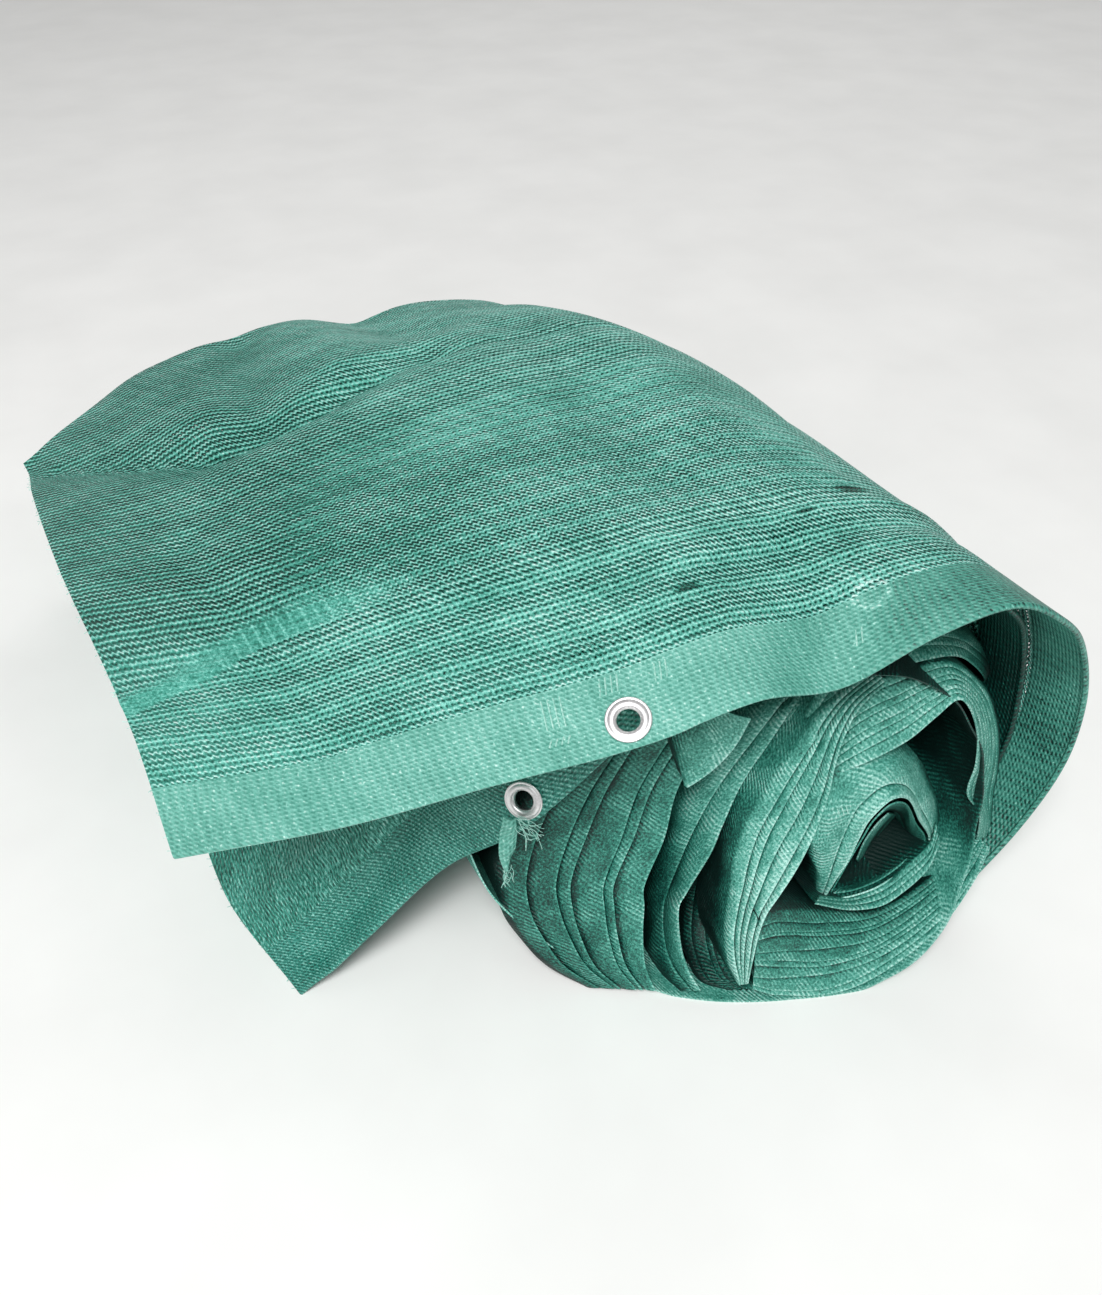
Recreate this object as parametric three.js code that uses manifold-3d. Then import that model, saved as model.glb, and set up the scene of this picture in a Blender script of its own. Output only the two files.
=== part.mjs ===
// Olive harvesting net of knitted green plastic mesh, loosely rolled and laid on its side.
// The roll's open end faces -Y. The last turn is a doubled sheet: its outer layer comes over the
// roll and out to the left, turns back at the far side and returns beneath as the inner layer,
// whose corner reaches the ground. Both layers end at the near side in a dense hem with eyelets.
// Millimetres, +Z up. Surfaces are first placed in a working frame that stands on the ground, and
// at the end the whole net is moved so that the middle of its footprint is the origin.
import * as THREE from 'three';
import { mergeVertices } from 'three/addons/utils/BufferGeometryUtils.js';
import Module from 'manifold-3d';

const wasm = await Module();
wasm.setup();

// Sizes of the cloth.
const CLOTH = 2.0; // thickness of the doubled knit as it lies
const HEM = 40; // width of the dense band along each near edge
const PARTING = 0.6; // gap between pieces that touch on the real net
const CUT_DEPTH = 640; // nominal width of a layer, from its hem to the far fold

// Steps of the meshes.
const STEPS_PER_STATION = 4;
const HEM_STEPS = 3;
const OUTER_STEPS = 15;
const FOLD_STEPS = 4;
const INNER_STEPS = 11;

// Stations along the net, from the cut end at the left, over the roll and down its right side.
// Each gives four points of the outer layer, from its hem to the far fold.
const OUTER = [
  { at: 'cut end', hem: [-330, 120, 160], near: [-336, 190, 198],
    mid: [-364, 400, 174], fold: [-388, 655, 120] },
  { at: 'overhang', hem: [-250, 62, 212], near: [-262, 170, 236],
    mid: [-285, 400, 204], fold: [-306, 688, 146] },
  { at: 'sag', hem: [-178, 46, 228], near: [-187, 160, 262], mid: [-205, 395, 236], fold: [-222, 704, 172] },
  { at: 'eyelet', hem: [-101, 30, 243], near: [-105, 150, 288],
    mid: [-122, 390, 266], fold: [-142, 690, 188] },
  { at: 'ripple', hem: [-42, 20, 262], near: [-42, 145, 299], mid: [-52, 385, 282], fold: [-70, 668, 196] },
  { at: 'dip', hem: [8, 20, 254], near: [14, 145, 300], mid: [8, 385, 286], fold: [-12, 652, 202] },
  { at: 'rise', hem: [52, 12, 280], near: [62, 145, 294], mid: [58, 380, 277], fold: [38, 640, 198] },
  { at: 'crest', hem: [98, 10, 287], near: [105, 145, 277], mid: [98, 378, 255], fold: [72, 630, 182] },
  { at: 'shoulder', hem: [140, 12, 262], near: [142, 145, 243], mid: [129, 376, 221], fold: [98, 622, 154] },
  { at: 'side', hem: [180, 26, 218], near: [167, 145, 200], mid: [149, 375, 180], fold: [114, 616, 126] },
  { at: 'side low', hem: [202, 30, 166], near: [178, 145, 150], mid: [157, 375, 138], fold: [121, 612, 96] },
  { at: 'belly', hem: [204, 30, 112], near: [177, 145, 102], mid: [154, 375, 96], fold: [118, 610, 66] },
  { at: 'under', hem: [184, 30, 58], near: [158, 145, 54], mid: [136, 375, 52], fold: [104, 610, 38] },
  { at: 'tail', hem: [138, 24, 12], near: [118, 145, 14], mid: [100, 375, 15], fold: [76, 610, 14] },
];

// The inner layer leaves the outer one at the left, where its corner falls to the ground.
const INNER_LEFT = [
  { at: 'ground', hem: [-282, 125, 1.3], near: [-312, 225, 1.3],
    mid: [-320, 400, 1.3], fold: [-335, 615, 1.3] },
  { at: 'ramp', hem: [-232, 122, 44], near: [-246, 210, 58], mid: [-262, 400, 70], fold: [-282, 636, 50] },
  { at: 'rise', hem: [-182, 120, 86], near: [-196, 200, 136], mid: [-212, 395, 142], fold: [-219, 648, 104] },
  { at: 'eyelet', hem: [-132, 100, 126], near: [-152, 190, 226],
    mid: [-160, 390, 215], fold: [-156, 646, 146] },
];

// From 'ripple' on, the inner layer follows the outer one at these gaps, towards the roll's
// middle, and its hem is set back along Y.
const INNER_RIGHT = [
  { at: 'ripple', hem: 20, near: 14, mid: 13, fold: 14, setBack: 50 },
  { at: 'dip', hem: 12, near: 12, mid: 12, fold: 14, setBack: 34 },
  { at: 'rise', hem: 10, near: 12, mid: 12, fold: 14, setBack: 24 },
  { at: 'crest', hem: 10, near: 12, mid: 12, fold: 14, setBack: 22 },
  { at: 'shoulder', hem: 14, near: 12, mid: 12, fold: 14, setBack: 24 },
  { at: 'side', hem: 20, near: 14, mid: 12, fold: 14, setBack: 26 },
  { at: 'side low', hem: 24, near: 15, mid: 12, fold: 14, setBack: 28 },
  { at: 'belly', hem: 22, near: 15, mid: 12, fold: 14, setBack: 28 },
  { at: 'under', hem: 16, near: 13, mid: 12, fold: 12, setBack: 28 },
  { at: 'tail', hem: 9, near: 9, mid: 9, fold: 9, setBack: 28 },
];
const ROLL_MIDDLE = { x: 0, z: 135 };

// Where the four points of a station lie across a layer, as shares of its width.
const ACROSS = { hem: 0, near: 0.2, mid: 0.58, fold: 1 };
const COLUMNS = Object.keys(ACROSS);
const FOLD_BULGE = 8; // how far the far fold rounds out behind its two layers

// Main folds: height (a trough is negative) and half width, along points given as
// [distance along the net, distance in from the hem].
const OUTER_FOLDS = [
  {
    fold: 'valley from the far corner', height: -8, width: 24,
    path: [[0, 620], [60, 505], [122, 416], [216, 403], [300, 420]],
  },
  { fold: 'bank behind the valley', height: 6, width: 32, path: [[110, 620], [135, 480]] },
  { fold: 'steep dip', height: -8, width: 22, path: [[205, 620], [172, 430]] },
  { fold: 'ridge beside the dip', height: 5, width: 28, path: [[262, 600], [250, 450]] },
  { fold: 'dent at the far edge', height: -10, width: 28, path: [[318, 640], [322, 500]] },
  { fold: 'soft trough', height: -4, width: 26, path: [[350, 150], [372, 430]] },
  { fold: 'soft ridge', height: 3, width: 28, path: [[410, 200], [430, 520]] },
];
const INNER_FOLDS = [
  { fold: 'front trough of the flap', height: -7, width: 18, path: [[200, 60], [120, 40], [40, 20]] },
  { fold: 'ridge of the flap', height: 5, width: 18, path: [[210, 100], [130, 110], [40, 90]] },
  { fold: 'back trough of the flap', height: -6, width: 20, path: [[215, 150], [130, 200], [50, 200]] },
];

// Eyelets: the layer that holds each, its distance along the net and in from the edge.
const EYELETS = [
  { name: 'outer_eyelet', layer: 'outer', along: 259, inset: 14 },
  { name: 'inner_eyelet', layer: 'inner', along: 268.5, inset: 14 },
  { name: 'covered_eyelet', layer: 'inner', along: 490, inset: 16 },
];
const EYELET = {
  hole: 6, // radius at the waist
  barrel: 7.6, // radius of the barrel where it passes through the cloth
  rim: 12, // outer radius
  crown: 2.4, // height of the rounded crown above the cloth's middle
  seat: CLOTH / 2 + 0.5, // height of the flange's seat
  slices: 24,
};
const PRESSED = 20; // radius within which the flange presses the cloth flat
const EASED = 34; // radius where the cloth is free again

// The roll's section, at five places along it.
const ROLL = [
  { at: 'front', y: 20, left: -158, right: 143, top: 216, shoulder: 1.2 },
  { at: 'near', y: 145, left: -168, right: 140, top: 262, shoulder: 1.3 },
  { at: 'mid', y: 375, left: -172, right: 127, top: 256, shoulder: 1.8 },
  { at: 'taper', y: 540, left: -156, right: 102, top: 206, shoulder: 2.0 },
  { at: 'back', y: 612, left: -136, right: 88, top: 166, shoulder: 2.0 },
];
const ROLL_AXIS = { x: 8, z: 100 };
const PRESSED_BELOW = 6; // how much the roll's own weight flattens it on the ground
const ROUNDNESS = { lowerRight: 1.9, other: 2.3 };

// The front rim leans: the lowest turns stand forward, those at the left lie far back.
const FRONT_RIM = [
  { angle: -180, y: 128 }, { angle: -150, y: 100 }, { angle: -128, y: 62 }, { angle: -105, y: 20 },
  { angle: -80, y: -2 }, { angle: -52, y: -8 }, { angle: -25, y: 10 }, { angle: 0, y: 30 },
  { angle: 45, y: 44 }, { angle: 90, y: 58 }, { angle: 120, y: 92 }, { angle: 150, y: 122 },
  { angle: 180, y: 128 },
];
const BACK_END = 612;

// Depth of the wound turns behind the end, from the hollow core out to the rim.
const CORE = { x: 64, y: 26, z: 101 };
const TURNS = [
  { share: 0, depth: 40 }, { share: 0.1, depth: 30 }, { share: 0.17, depth: 2 },
  { share: 0.29, depth: 4 }, { share: 0.38, depth: 28 }, { share: 0.46, depth: 5 },
  { share: 0.6, depth: 8 }, { share: 0.7, depth: 30 }, { share: 0.8, depth: 6 }, { share: 1, depth: 0 },
];
const PITCH = 0.1; // how far the spiral moves out in one turn, as a share of the radius
const BACK_RELIEF = 0.3; // the back end repeats the turns at this share of their depth
const ROLL_SLICES = 44;
const FRONT_RINGS = 20;
const SIDE_RINGS = 9;
const BACK_RINGS = 8;

// A smooth curve through values at knots: a cubic with finite-difference slopes.
function curve(knots, values, t) {
  const last = knots.length - 1;
  let i = 0;
  while (i < last - 1 && t >= knots[i + 1]) i += 1;
  const slope = (k) => {
    const a = Math.max(k - 1, 0);
    const b = Math.min(k + 1, last);
    return values[a].map((v, n) => (values[b][n] - v) / (knots[b] - knots[a]));
  };
  const h = knots[i + 1] - knots[i];
  const s = (t - knots[i]) / h;
  const start = slope(i);
  const end = slope(i + 1);
  return values[i].map((v, n) =>
    (1 + 2 * s) * (1 - s) ** 2 * v + s * (1 - s) ** 2 * h * start[n]
    + s * s * (3 - 2 * s) * values[i + 1][n] + s * s * (s - 1) * h * end[n]);
}

const smooth = (from, to, x) => THREE.MathUtils.smoothstep(x, from, to);

// A point moved in XZ towards the middle of the roll.
function drawnIn([x, y, z], gap) {
  const reach = Math.hypot(x - ROLL_MIDDLE.x, z - ROLL_MIDDLE.z);
  const k = gap / reach;
  return [x - k * (x - ROLL_MIDDLE.x), y, z - k * (z - ROLL_MIDDLE.z)];
}

function innerStations() {
  const followed = OUTER.slice(INNER_LEFT.length);
  const right = followed.map((station, i) => {
    const gap = INNER_RIGHT[i];
    const points = Object.fromEntries(COLUMNS.map((c) => [c, drawnIn(station[c], gap[c])]));
    points.hem[1] += gap.setBack;
    return points;
  });
  return [...INNER_LEFT, ...right];
}

// Distance along the net of each station, measured at mid width.
function distances(stations) {
  const along = [0];
  stations.slice(1).forEach((station, i) => {
    along.push(along[i] + Math.hypot(...station.mid.map((v, n) => v - stations[i].mid[n])));
  });
  return along;
}

// Height of the folds at a place on a layer.
function foldHeight(folds, u, w) {
  let height = 0;
  for (const { height: tall, width, path } of folds) {
    let nearest = Infinity;
    for (let i = 1; i < path.length; i += 1) {
      const [ax, ay] = path[i - 1];
      const [bx, by] = path[i];
      const run = (bx - ax) ** 2 + (by - ay) ** 2;
      const s = THREE.MathUtils.clamp(((u - ax) * (bx - ax) + (w - ay) * (by - ay)) / run, 0, 1);
      nearest = Math.min(nearest, Math.hypot(u - ax - s * (bx - ax), w - ay - s * (by - ay)));
    }
    height += tall * Math.exp(-((nearest / width) ** 2));
  }
  return height;
}

// One layer of the sheet: its smooth form, its folds, and the flat places under its eyelets.
class Layer {
  constructor(name, stations, folds) {
    this.stations = stations;
    this.folds = folds;
    this.along = distances(stations);
    this.eyelets = EYELETS.filter((e) => e.layer === name).map((e) => ({ ...e, ...this.seat(e) }));
  }

  form(u, v) {
    const row = COLUMNS.map((c) => curve(this.along, this.stations.map((s) => s[c]), u));
    return new THREE.Vector3(...curve(Object.values(ACROSS), row, v));
  }

  normal(u, v) {
    const step = 1;
    const share = step / CUT_DEPTH;
    const du = this.form(u + step, v).sub(this.form(u - step, v));
    const dv = this.form(u, v + share).sub(this.form(u, v - share));
    return du.cross(dv).normalize();
  }

  folded(u, v) {
    const height = foldHeight(this.folds, u, v * CUT_DEPTH);
    return this.form(u, v).addScaledVector(this.normal(u, v), height);
  }

  // The share of the width that lies a distance in from the hem's edge.
  share(u, inset) {
    return inset * ACROSS.near / this.form(u, 0).distanceTo(this.form(u, ACROSS.near));
  }

  // The share where the hem meets the net, moved by half the parting to one side or the other.
  joint(u, side) {
    const v = this.share(u, HEM);
    const step = 1 / CUT_DEPTH;
    const stretch = this.point(u, v + step).distanceTo(this.point(u, v - step)) / (2 * step);
    return v + side * PARTING / 2 / stretch;
  }

  seat({ along, inset }) {
    const v = this.share(along, inset);
    return { centre: this.folded(along, v), facing: this.normal(along, v) };
  }

  point(u, v) {
    const p = this.folded(u, v);
    for (const { centre, facing } of this.eyelets) {
      const free = smooth(PRESSED, EASED, p.distanceTo(centre));
      p.addScaledVector(facing, (free - 1) * facing.dot(p.clone().sub(centre)));
    }
    return p;
  }

  // A point and the way the cloth faces there; the inner layer, read backwards, is turned over.
  place(u, v, turned = 1) {
    const step = 1;
    const share = step / CUT_DEPTH;
    const du = this.point(u + step, v).sub(this.point(u - step, v));
    const dv = this.point(u, v + share).sub(this.point(u, v - share));
    return { point: this.point(u, v), facing: du.cross(dv).normalize().multiplyScalar(turned) };
  }
}

const layers = {
  outer: new Layer('outer', OUTER, OUTER_FOLDS),
  inner: new Layer('inner', innerStations(), INNER_FOLDS),
};

// Places along a layer, a few between each two stations.
const COLUMN_COUNT = (OUTER.length - 1) * STEPS_PER_STATION + 1;
function alongAt(layer, i) {
  const station = Math.min(Math.floor(i / STEPS_PER_STATION), OUTER.length - 2);
  const part = i / STEPS_PER_STATION - station;
  return THREE.MathUtils.lerp(layer.along[station], layer.along[station + 1], part);
}

// The two sides of a sheet, joined round its edges, from rows of points on its middle and the way
// the sheet faces at each.
function sheetGeometry(rows) {
  const columns = rows[0].length;
  const positions = [];
  for (const side of [CLOTH / 2, -CLOTH / 2]) {
    for (const { point, facing } of rows.flat()) {
      positions.push(...point.clone().addScaledVector(facing, side).toArray());
    }
  }
  const count = rows.length * columns;
  const at = (i, j, side) => side * count + i * columns + j;
  const index = [];
  const quad = (a, b, c, d) => index.push(a, b, c, a, c, d);
  for (let i = 0; i < rows.length - 1; i += 1) {
    for (let j = 0; j < columns - 1; j += 1) {
      quad(at(i, j, 0), at(i + 1, j, 0), at(i + 1, j + 1, 0), at(i, j + 1, 0));
      quad(at(i, j, 1), at(i, j + 1, 1), at(i + 1, j + 1, 1), at(i + 1, j, 1));
    }
    const end = columns - 1;
    quad(at(i, 0, 0), at(i, 0, 1), at(i + 1, 0, 1), at(i + 1, 0, 0));
    quad(at(i, end, 1), at(i, end, 0), at(i + 1, end, 0), at(i + 1, end, 1));
  }
  for (let j = 0; j < columns - 1; j += 1) {
    const end = rows.length - 1;
    quad(at(0, j, 1), at(0, j, 0), at(0, j + 1, 0), at(0, j + 1, 1));
    quad(at(end, j, 0), at(end, j, 1), at(end, j + 1, 1), at(end, j + 1, 0));
  }
  const geometry = new THREE.BufferGeometry();
  geometry.setAttribute('position', new THREE.Float32BufferAttribute(positions, 3));
  geometry.setIndex(index);
  return geometry;
}

// The hem of a layer, with a round hole for each of its eyelets.
function hemGeometry(layer) {
  const rows = [];
  for (let i = 0; i < COLUMN_COUNT; i += 1) {
    const u = alongAt(layer, i);
    const inner = layer.joint(u, -1);
    const row = [];
    for (let j = 0; j <= HEM_STEPS; j += 1) {
      row.push(layer.place(u, inner * j / HEM_STEPS));
    }
    rows.push(row);
  }
  let hem = solid(sheetGeometry(rows));
  for (const { centre, facing } of layer.eyelets) {
    const bore = EYELET.barrel + PARTING;
    const drill = new THREE.CylinderGeometry(bore, bore, 12, EYELET.slices);
    drill.applyQuaternion(new THREE.Quaternion().setFromUnitVectors(new THREE.Vector3(0, 1, 0), facing));
    drill.translate(...centre);
    hem = hem.subtract(solid(drill));
  }
  return fromSolid(hem);
}

// The doubled sheet between the two hems: outer layer, far fold, inner layer.
function netSheetGeometry() {
  const rows = [];
  for (let i = 0; i < COLUMN_COUNT; i += 1) {
    const over = alongAt(layers.outer, i);
    const below = alongAt(layers.inner, i);
    const overStart = layers.outer.joint(over, 1);
    const belowStart = layers.inner.joint(below, 1);
    const row = [];
    for (let j = 0; j <= OUTER_STEPS; j += 1) {
      row.push(layers.outer.place(over, THREE.MathUtils.lerp(overStart, 1, j / OUTER_STEPS)));
    }
    row.push(...foldPoints(layers.outer.point(over, 1), layers.inner.point(below, 1)));
    for (let j = 0; j <= INNER_STEPS; j += 1) {
      row.push(layers.inner.place(below, THREE.MathUtils.lerp(1, belowStart, j / INNER_STEPS), -1));
    }
    rows.push(row);
  }
  return sheetGeometry(rows);
}

// The round of the far fold between the ends of the two layers.
function foldPoints(over, below) {
  const middle = over.clone().add(below).multiplyScalar(0.5);
  const half = over.clone().sub(middle);
  const out = new THREE.Vector3(0, Math.min(half.length(), FOLD_BULGE), 0);
  const points = [];
  for (let k = 1; k < FOLD_STEPS; k += 1) {
    const c = Math.cos(Math.PI * k / FOLD_STEPS);
    const s = Math.sin(Math.PI * k / FOLD_STEPS);
    const facing = half.clone().multiplyScalar(c / half.lengthSq()).addScaledVector(out, s / out.lengthSq());
    points.push({
      point: middle.clone().addScaledVector(half, c).addScaledVector(out, s),
      facing: facing.normalize(),
    });
  }
  return points;
}

// A point on the roll's side: a flattened oval that changes along the roll.
function rollSide(y, angle) {
  const knots = ROLL.map((s) => s.y);
  const rows = ROLL.map((s) => [s.left, s.right, s.top, s.shoulder]);
  const held = THREE.MathUtils.clamp(y, knots[0], knots[knots.length - 1]);
  const [left, right, top, shoulder] = curve(knots, rows, held);
  const c = Math.cos(angle);
  const s = Math.sin(angle);
  const wide = c >= 0 ? right - ROLL_AXIS.x : ROLL_AXIS.x - left;
  const tall = s >= 0 ? top - ROLL_AXIS.z : ROLL_AXIS.z + PRESSED_BELOW;
  let round = ROUNDNESS.other;
  if (c < 0 && s > 0) round = shoulder;
  if (c > 0 && s < 0) round = ROUNDNESS.lowerRight;
  const reach = (Math.abs(c) ** round + Math.abs(s) ** round) ** (-1 / round);
  const z = Math.max(ROLL_AXIS.z + tall * reach * s, 0);
  return new THREE.Vector3(ROLL_AXIS.x + wide * reach * c, y, z);
}

function frontRim(angle) {
  const degrees = THREE.MathUtils.radToDeg(Math.atan2(Math.sin(angle), Math.cos(angle)));
  return curve(FRONT_RIM.map((r) => r.angle), FRONT_RIM.map((r) => [r.y]), degrees)[0];
}

// Depth of the wound turns, with the spiral's step eased out at the core and the rim.
function turnDepth(angle, share) {
  const spiral = PITCH * (angle / (2 * Math.PI) - 0.5) * 4 * share * (1 - share);
  const at = THREE.MathUtils.clamp(share + spiral, 0, 1);
  return curve(TURNS.map((t) => t.share), TURNS.map((t) => [t.depth]), at)[0];
}

// A point on an end of the roll, between the core and a point of the rim.
function endPoint(rim, angle, share, core, relief) {
  const p = new THREE.Vector3(core.x, rim.y, core.z).lerp(rim, share);
  p.y = THREE.MathUtils.lerp(core.y, rim.y, smooth(0.25, 1, share)) + relief * turnDepth(angle, share);
  return p;
}

function rollGeometry() {
  const rings = [];
  const ring = (make) => {
    const points = [];
    for (let k = 0; k < ROLL_SLICES; k += 1) {
      points.push(make(2 * Math.PI * k / ROLL_SLICES));
    }
    rings.push(points);
  };
  for (let i = 1; i <= FRONT_RINGS; i += 1) {
    ring((a) => endPoint(rollSide(frontRim(a), a), a, i / FRONT_RINGS, CORE, 1));
  }
  for (let i = 1; i <= SIDE_RINGS; i += 1) {
    ring((a) => rollSide(THREE.MathUtils.lerp(frontRim(a), BACK_END, i / SIDE_RINGS), a));
  }
  const backCore = { x: ROLL_AXIS.x, y: BACK_END + 8, z: 88 };
  for (let i = BACK_RINGS - 1; i >= 1; i -= 1) {
    ring((a) => endPoint(rollSide(BACK_END, a), a, i / BACK_RINGS, backCore, -BACK_RELIEF));
  }
  const positions = rings.flat().flatMap((p) => p.toArray());
  const frontPole = rings.length * ROLL_SLICES;
  positions.push(CORE.x, CORE.y + TURNS[0].depth, CORE.z);
  positions.push(backCore.x, backCore.y - BACK_RELIEF * TURNS[0].depth, backCore.z);
  const index = [];
  const at = (i, k) => i * ROLL_SLICES + (k % ROLL_SLICES);
  for (let k = 0; k < ROLL_SLICES; k += 1) {
    index.push(frontPole, at(0, k), at(0, k + 1));
    for (let i = 0; i < rings.length - 1; i += 1) {
      index.push(at(i, k), at(i + 1, k), at(i + 1, k + 1));
      index.push(at(i, k), at(i + 1, k + 1), at(i, k + 1));
    }
    index.push(frontPole + 1, at(rings.length - 1, k + 1), at(rings.length - 1, k));
  }
  const geometry = new THREE.BufferGeometry();
  geometry.setAttribute('position', new THREE.Float32BufferAttribute(positions, 3));
  geometry.setIndex(index);
  return geometry;
}

// A two-piece eyelet: rounded crowns on both faces, a barrel between, a groove that holds the cloth.
function eyeletGeometry() {
  const { hole, barrel, rim, crown, seat, slices } = EYELET;
  const upper = [
    [hole, 0], [hole + 0.7, crown * 0.6], [hole + 2.2, crown], [rim - 2, crown * 0.95], [rim, seat + 0.3],
    [rim - 0.3, seat], [barrel, seat],
  ];
  const lower = upper.slice(1).reverse().map(([r, h]) => [r, -h]);
  const profile = [...upper, ...lower, upper[0]].map(([r, h]) => new THREE.Vector2(r, h));
  return new THREE.LatheGeometry(profile.reverse(), slices);
}

// Closed bodies for cutting, from and to three.js geometry.
function solid(geometry) {
  const bare = geometry.clone();
  bare.deleteAttribute('normal');
  bare.deleteAttribute('uv');
  const merged = mergeVertices(bare, 1e-4);
  const mesh = new wasm.Mesh({
    numProp: 3,
    vertProperties: new Float32Array(merged.attributes.position.array),
    triVerts: new Uint32Array(merged.index.array),
  });
  return new wasm.Manifold(mesh);
}

function fromSolid(body) {
  const mesh = body.getMesh();
  const geometry = new THREE.BufferGeometry();
  geometry.setAttribute('position', new THREE.Float32BufferAttribute(mesh.vertProperties, 3));
  geometry.setIndex(Array.from(mesh.triVerts));
  return geometry;
}

const materials = {
  sheet: { color: 0x3c9a7c, roughness: 0.55, metalness: 0 },
  hem: { color: 0x4bab8b, roughness: 0.5, metalness: 0 },
  roll: { color: 0x247a60, roughness: 0.6, metalness: 0 },
  eyelet: { color: 0xd9dad6, roughness: 0.25, metalness: 1 },
};

const net = new THREE.Group();
function piece(name, geometry, finish) {
  geometry.computeVertexNormals();
  const mesh = new THREE.Mesh(geometry, new THREE.MeshStandardMaterial(materials[finish]));
  mesh.name = name;
  net.add(mesh);
  return mesh;
}

piece('rolled_net', rollGeometry(), 'roll');
piece('net_sheet', netSheetGeometry(), 'sheet');
piece('outer_hem', hemGeometry(layers.outer), 'hem');
piece('inner_hem', hemGeometry(layers.inner), 'hem');
for (const { name, centre, facing } of [...layers.outer.eyelets, ...layers.inner.eyelets]) {
  const eyelet = piece(name, eyeletGeometry(), 'eyelet');
  eyelet.position.copy(centre);
  eyelet.quaternion.setFromUnitVectors(new THREE.Vector3(0, 1, 0), facing);
}

// The middle of the footprint, on the ground, becomes the origin.
const extent = new THREE.Box3().setFromObject(net);
const middle = extent.getCenter(new THREE.Vector3());
net.position.set(-middle.x, -middle.y, -extent.min.z);

export default net;
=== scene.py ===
# %% [markdown]
# # A rolled olive harvesting net
# The real thing is one long piece of green knitted polyethylene net, folded double and rolled up
# loosely on its side. Its last turn lies over the roll and out to the left. We load the packed
# model first, because every piece below takes its place from it.

# %% Load the frame
import math

import bpy
import numpy as np
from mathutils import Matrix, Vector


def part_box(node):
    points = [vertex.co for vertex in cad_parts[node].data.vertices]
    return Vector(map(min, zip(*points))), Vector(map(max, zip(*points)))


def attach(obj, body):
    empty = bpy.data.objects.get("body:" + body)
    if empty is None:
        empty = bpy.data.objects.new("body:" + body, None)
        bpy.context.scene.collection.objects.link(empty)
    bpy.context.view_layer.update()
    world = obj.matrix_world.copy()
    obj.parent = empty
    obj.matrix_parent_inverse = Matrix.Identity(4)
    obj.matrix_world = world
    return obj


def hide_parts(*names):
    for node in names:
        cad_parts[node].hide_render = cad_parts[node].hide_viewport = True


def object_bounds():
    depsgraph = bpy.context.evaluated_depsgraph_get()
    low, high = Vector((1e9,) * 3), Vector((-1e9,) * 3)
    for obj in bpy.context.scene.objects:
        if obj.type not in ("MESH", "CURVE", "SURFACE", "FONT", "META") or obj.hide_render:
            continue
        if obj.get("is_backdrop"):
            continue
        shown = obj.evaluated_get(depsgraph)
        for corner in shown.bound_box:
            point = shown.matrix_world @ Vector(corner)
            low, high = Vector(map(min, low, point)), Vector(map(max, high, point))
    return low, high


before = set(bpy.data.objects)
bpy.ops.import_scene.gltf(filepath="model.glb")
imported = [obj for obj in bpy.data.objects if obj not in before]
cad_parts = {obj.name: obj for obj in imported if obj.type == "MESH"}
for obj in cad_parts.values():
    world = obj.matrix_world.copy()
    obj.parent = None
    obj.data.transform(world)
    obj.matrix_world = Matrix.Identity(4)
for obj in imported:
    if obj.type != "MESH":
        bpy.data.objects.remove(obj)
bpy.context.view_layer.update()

MM = 0.001

# %% [markdown]
# ## Camera
# The camera comes early, so that every piece can be judged from the same place. It stands to the
# left of the roll's open end, 66 cm up, and looks 40 degrees down. A wide lens gives the strong
# perspective that a small thing has when it is seen from close by.

# %% Camera
DOWN, ASIDE = 40, 22  # how far it looks down, and how far it is turned to the right, in degrees
SENSOR = 36  # height of the sensor, mm
FOCAL, TALL = 1200, 1295  # focal length and height of the picture, both in its pixels
camera = bpy.data.objects.new("camera", bpy.data.cameras.new("camera"))
bpy.context.scene.collection.objects.link(camera)
camera.location = (-0.20984, -0.69275, 0.660)
camera.rotation_euler = (math.radians(90 - DOWN), 0, math.radians(-ASIDE))
camera.data.sensor_fit = "VERTICAL"
camera.data.sensor_height = SENSOR
camera.data.lens = SENSOR * FOCAL / TALL
camera.data.clip_start = 0.01
bpy.context.scene.camera = camera
print("lens, mm:", round(camera.data.lens, 2))

# %% [markdown]
# ## Floor and light
# A floor of matt white paper and a large soft lamp behind the camera show knitted cloth well: ridges
# of the knit keep a light and a dark side, and the folds keep their depth. A second, weaker lamp
# behind the roll lights its far side, and the pale room opens the shade below the loose layer.

# %% Colours, nodes and lamps
def linear(code):
    """A colour written as sRGB hex, as the linear numbers that Blender's shaders take."""
    parts = [int(code[i:i + 2], 16) / 255 for i in (1, 3, 5)]
    return [p / 12.92 if p <= 0.04045 else ((p + 0.055) / 1.055) ** 2.4 for p in parts] + [1]


def node(tree, kind, settings=None, links=None):
    """Adds a shader node, gives its properties and sockets their settings, and links its inputs.

    A link comes from a socket, or from a node's first output. A ramp's stops are (place, hex)."""
    made = tree.nodes.new("ShaderNode" + kind)
    for name, value in (settings or {}).items():
        if name == "stops":
            ramp = made.color_ramp.elements
            while len(ramp) < len(value):
                ramp.new(0.5)
            for stop, (place, code) in zip(ramp, value):
                stop.position, stop.color = place, linear(code)
        elif isinstance(name, str) and hasattr(made, name):
            setattr(made, name, value)
        else:
            made.inputs[name].default_value = value
    for name, source in (links or {}).items():
        tree.links.new(getattr(source, "outputs", [source])[0], made.inputs[name])
    return made


def finish(name):
    """An empty material and its node tree."""
    material = bpy.data.materials.new(name)
    material.use_nodes = True
    material.node_tree.nodes.clear()
    return material, material.node_tree


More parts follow.
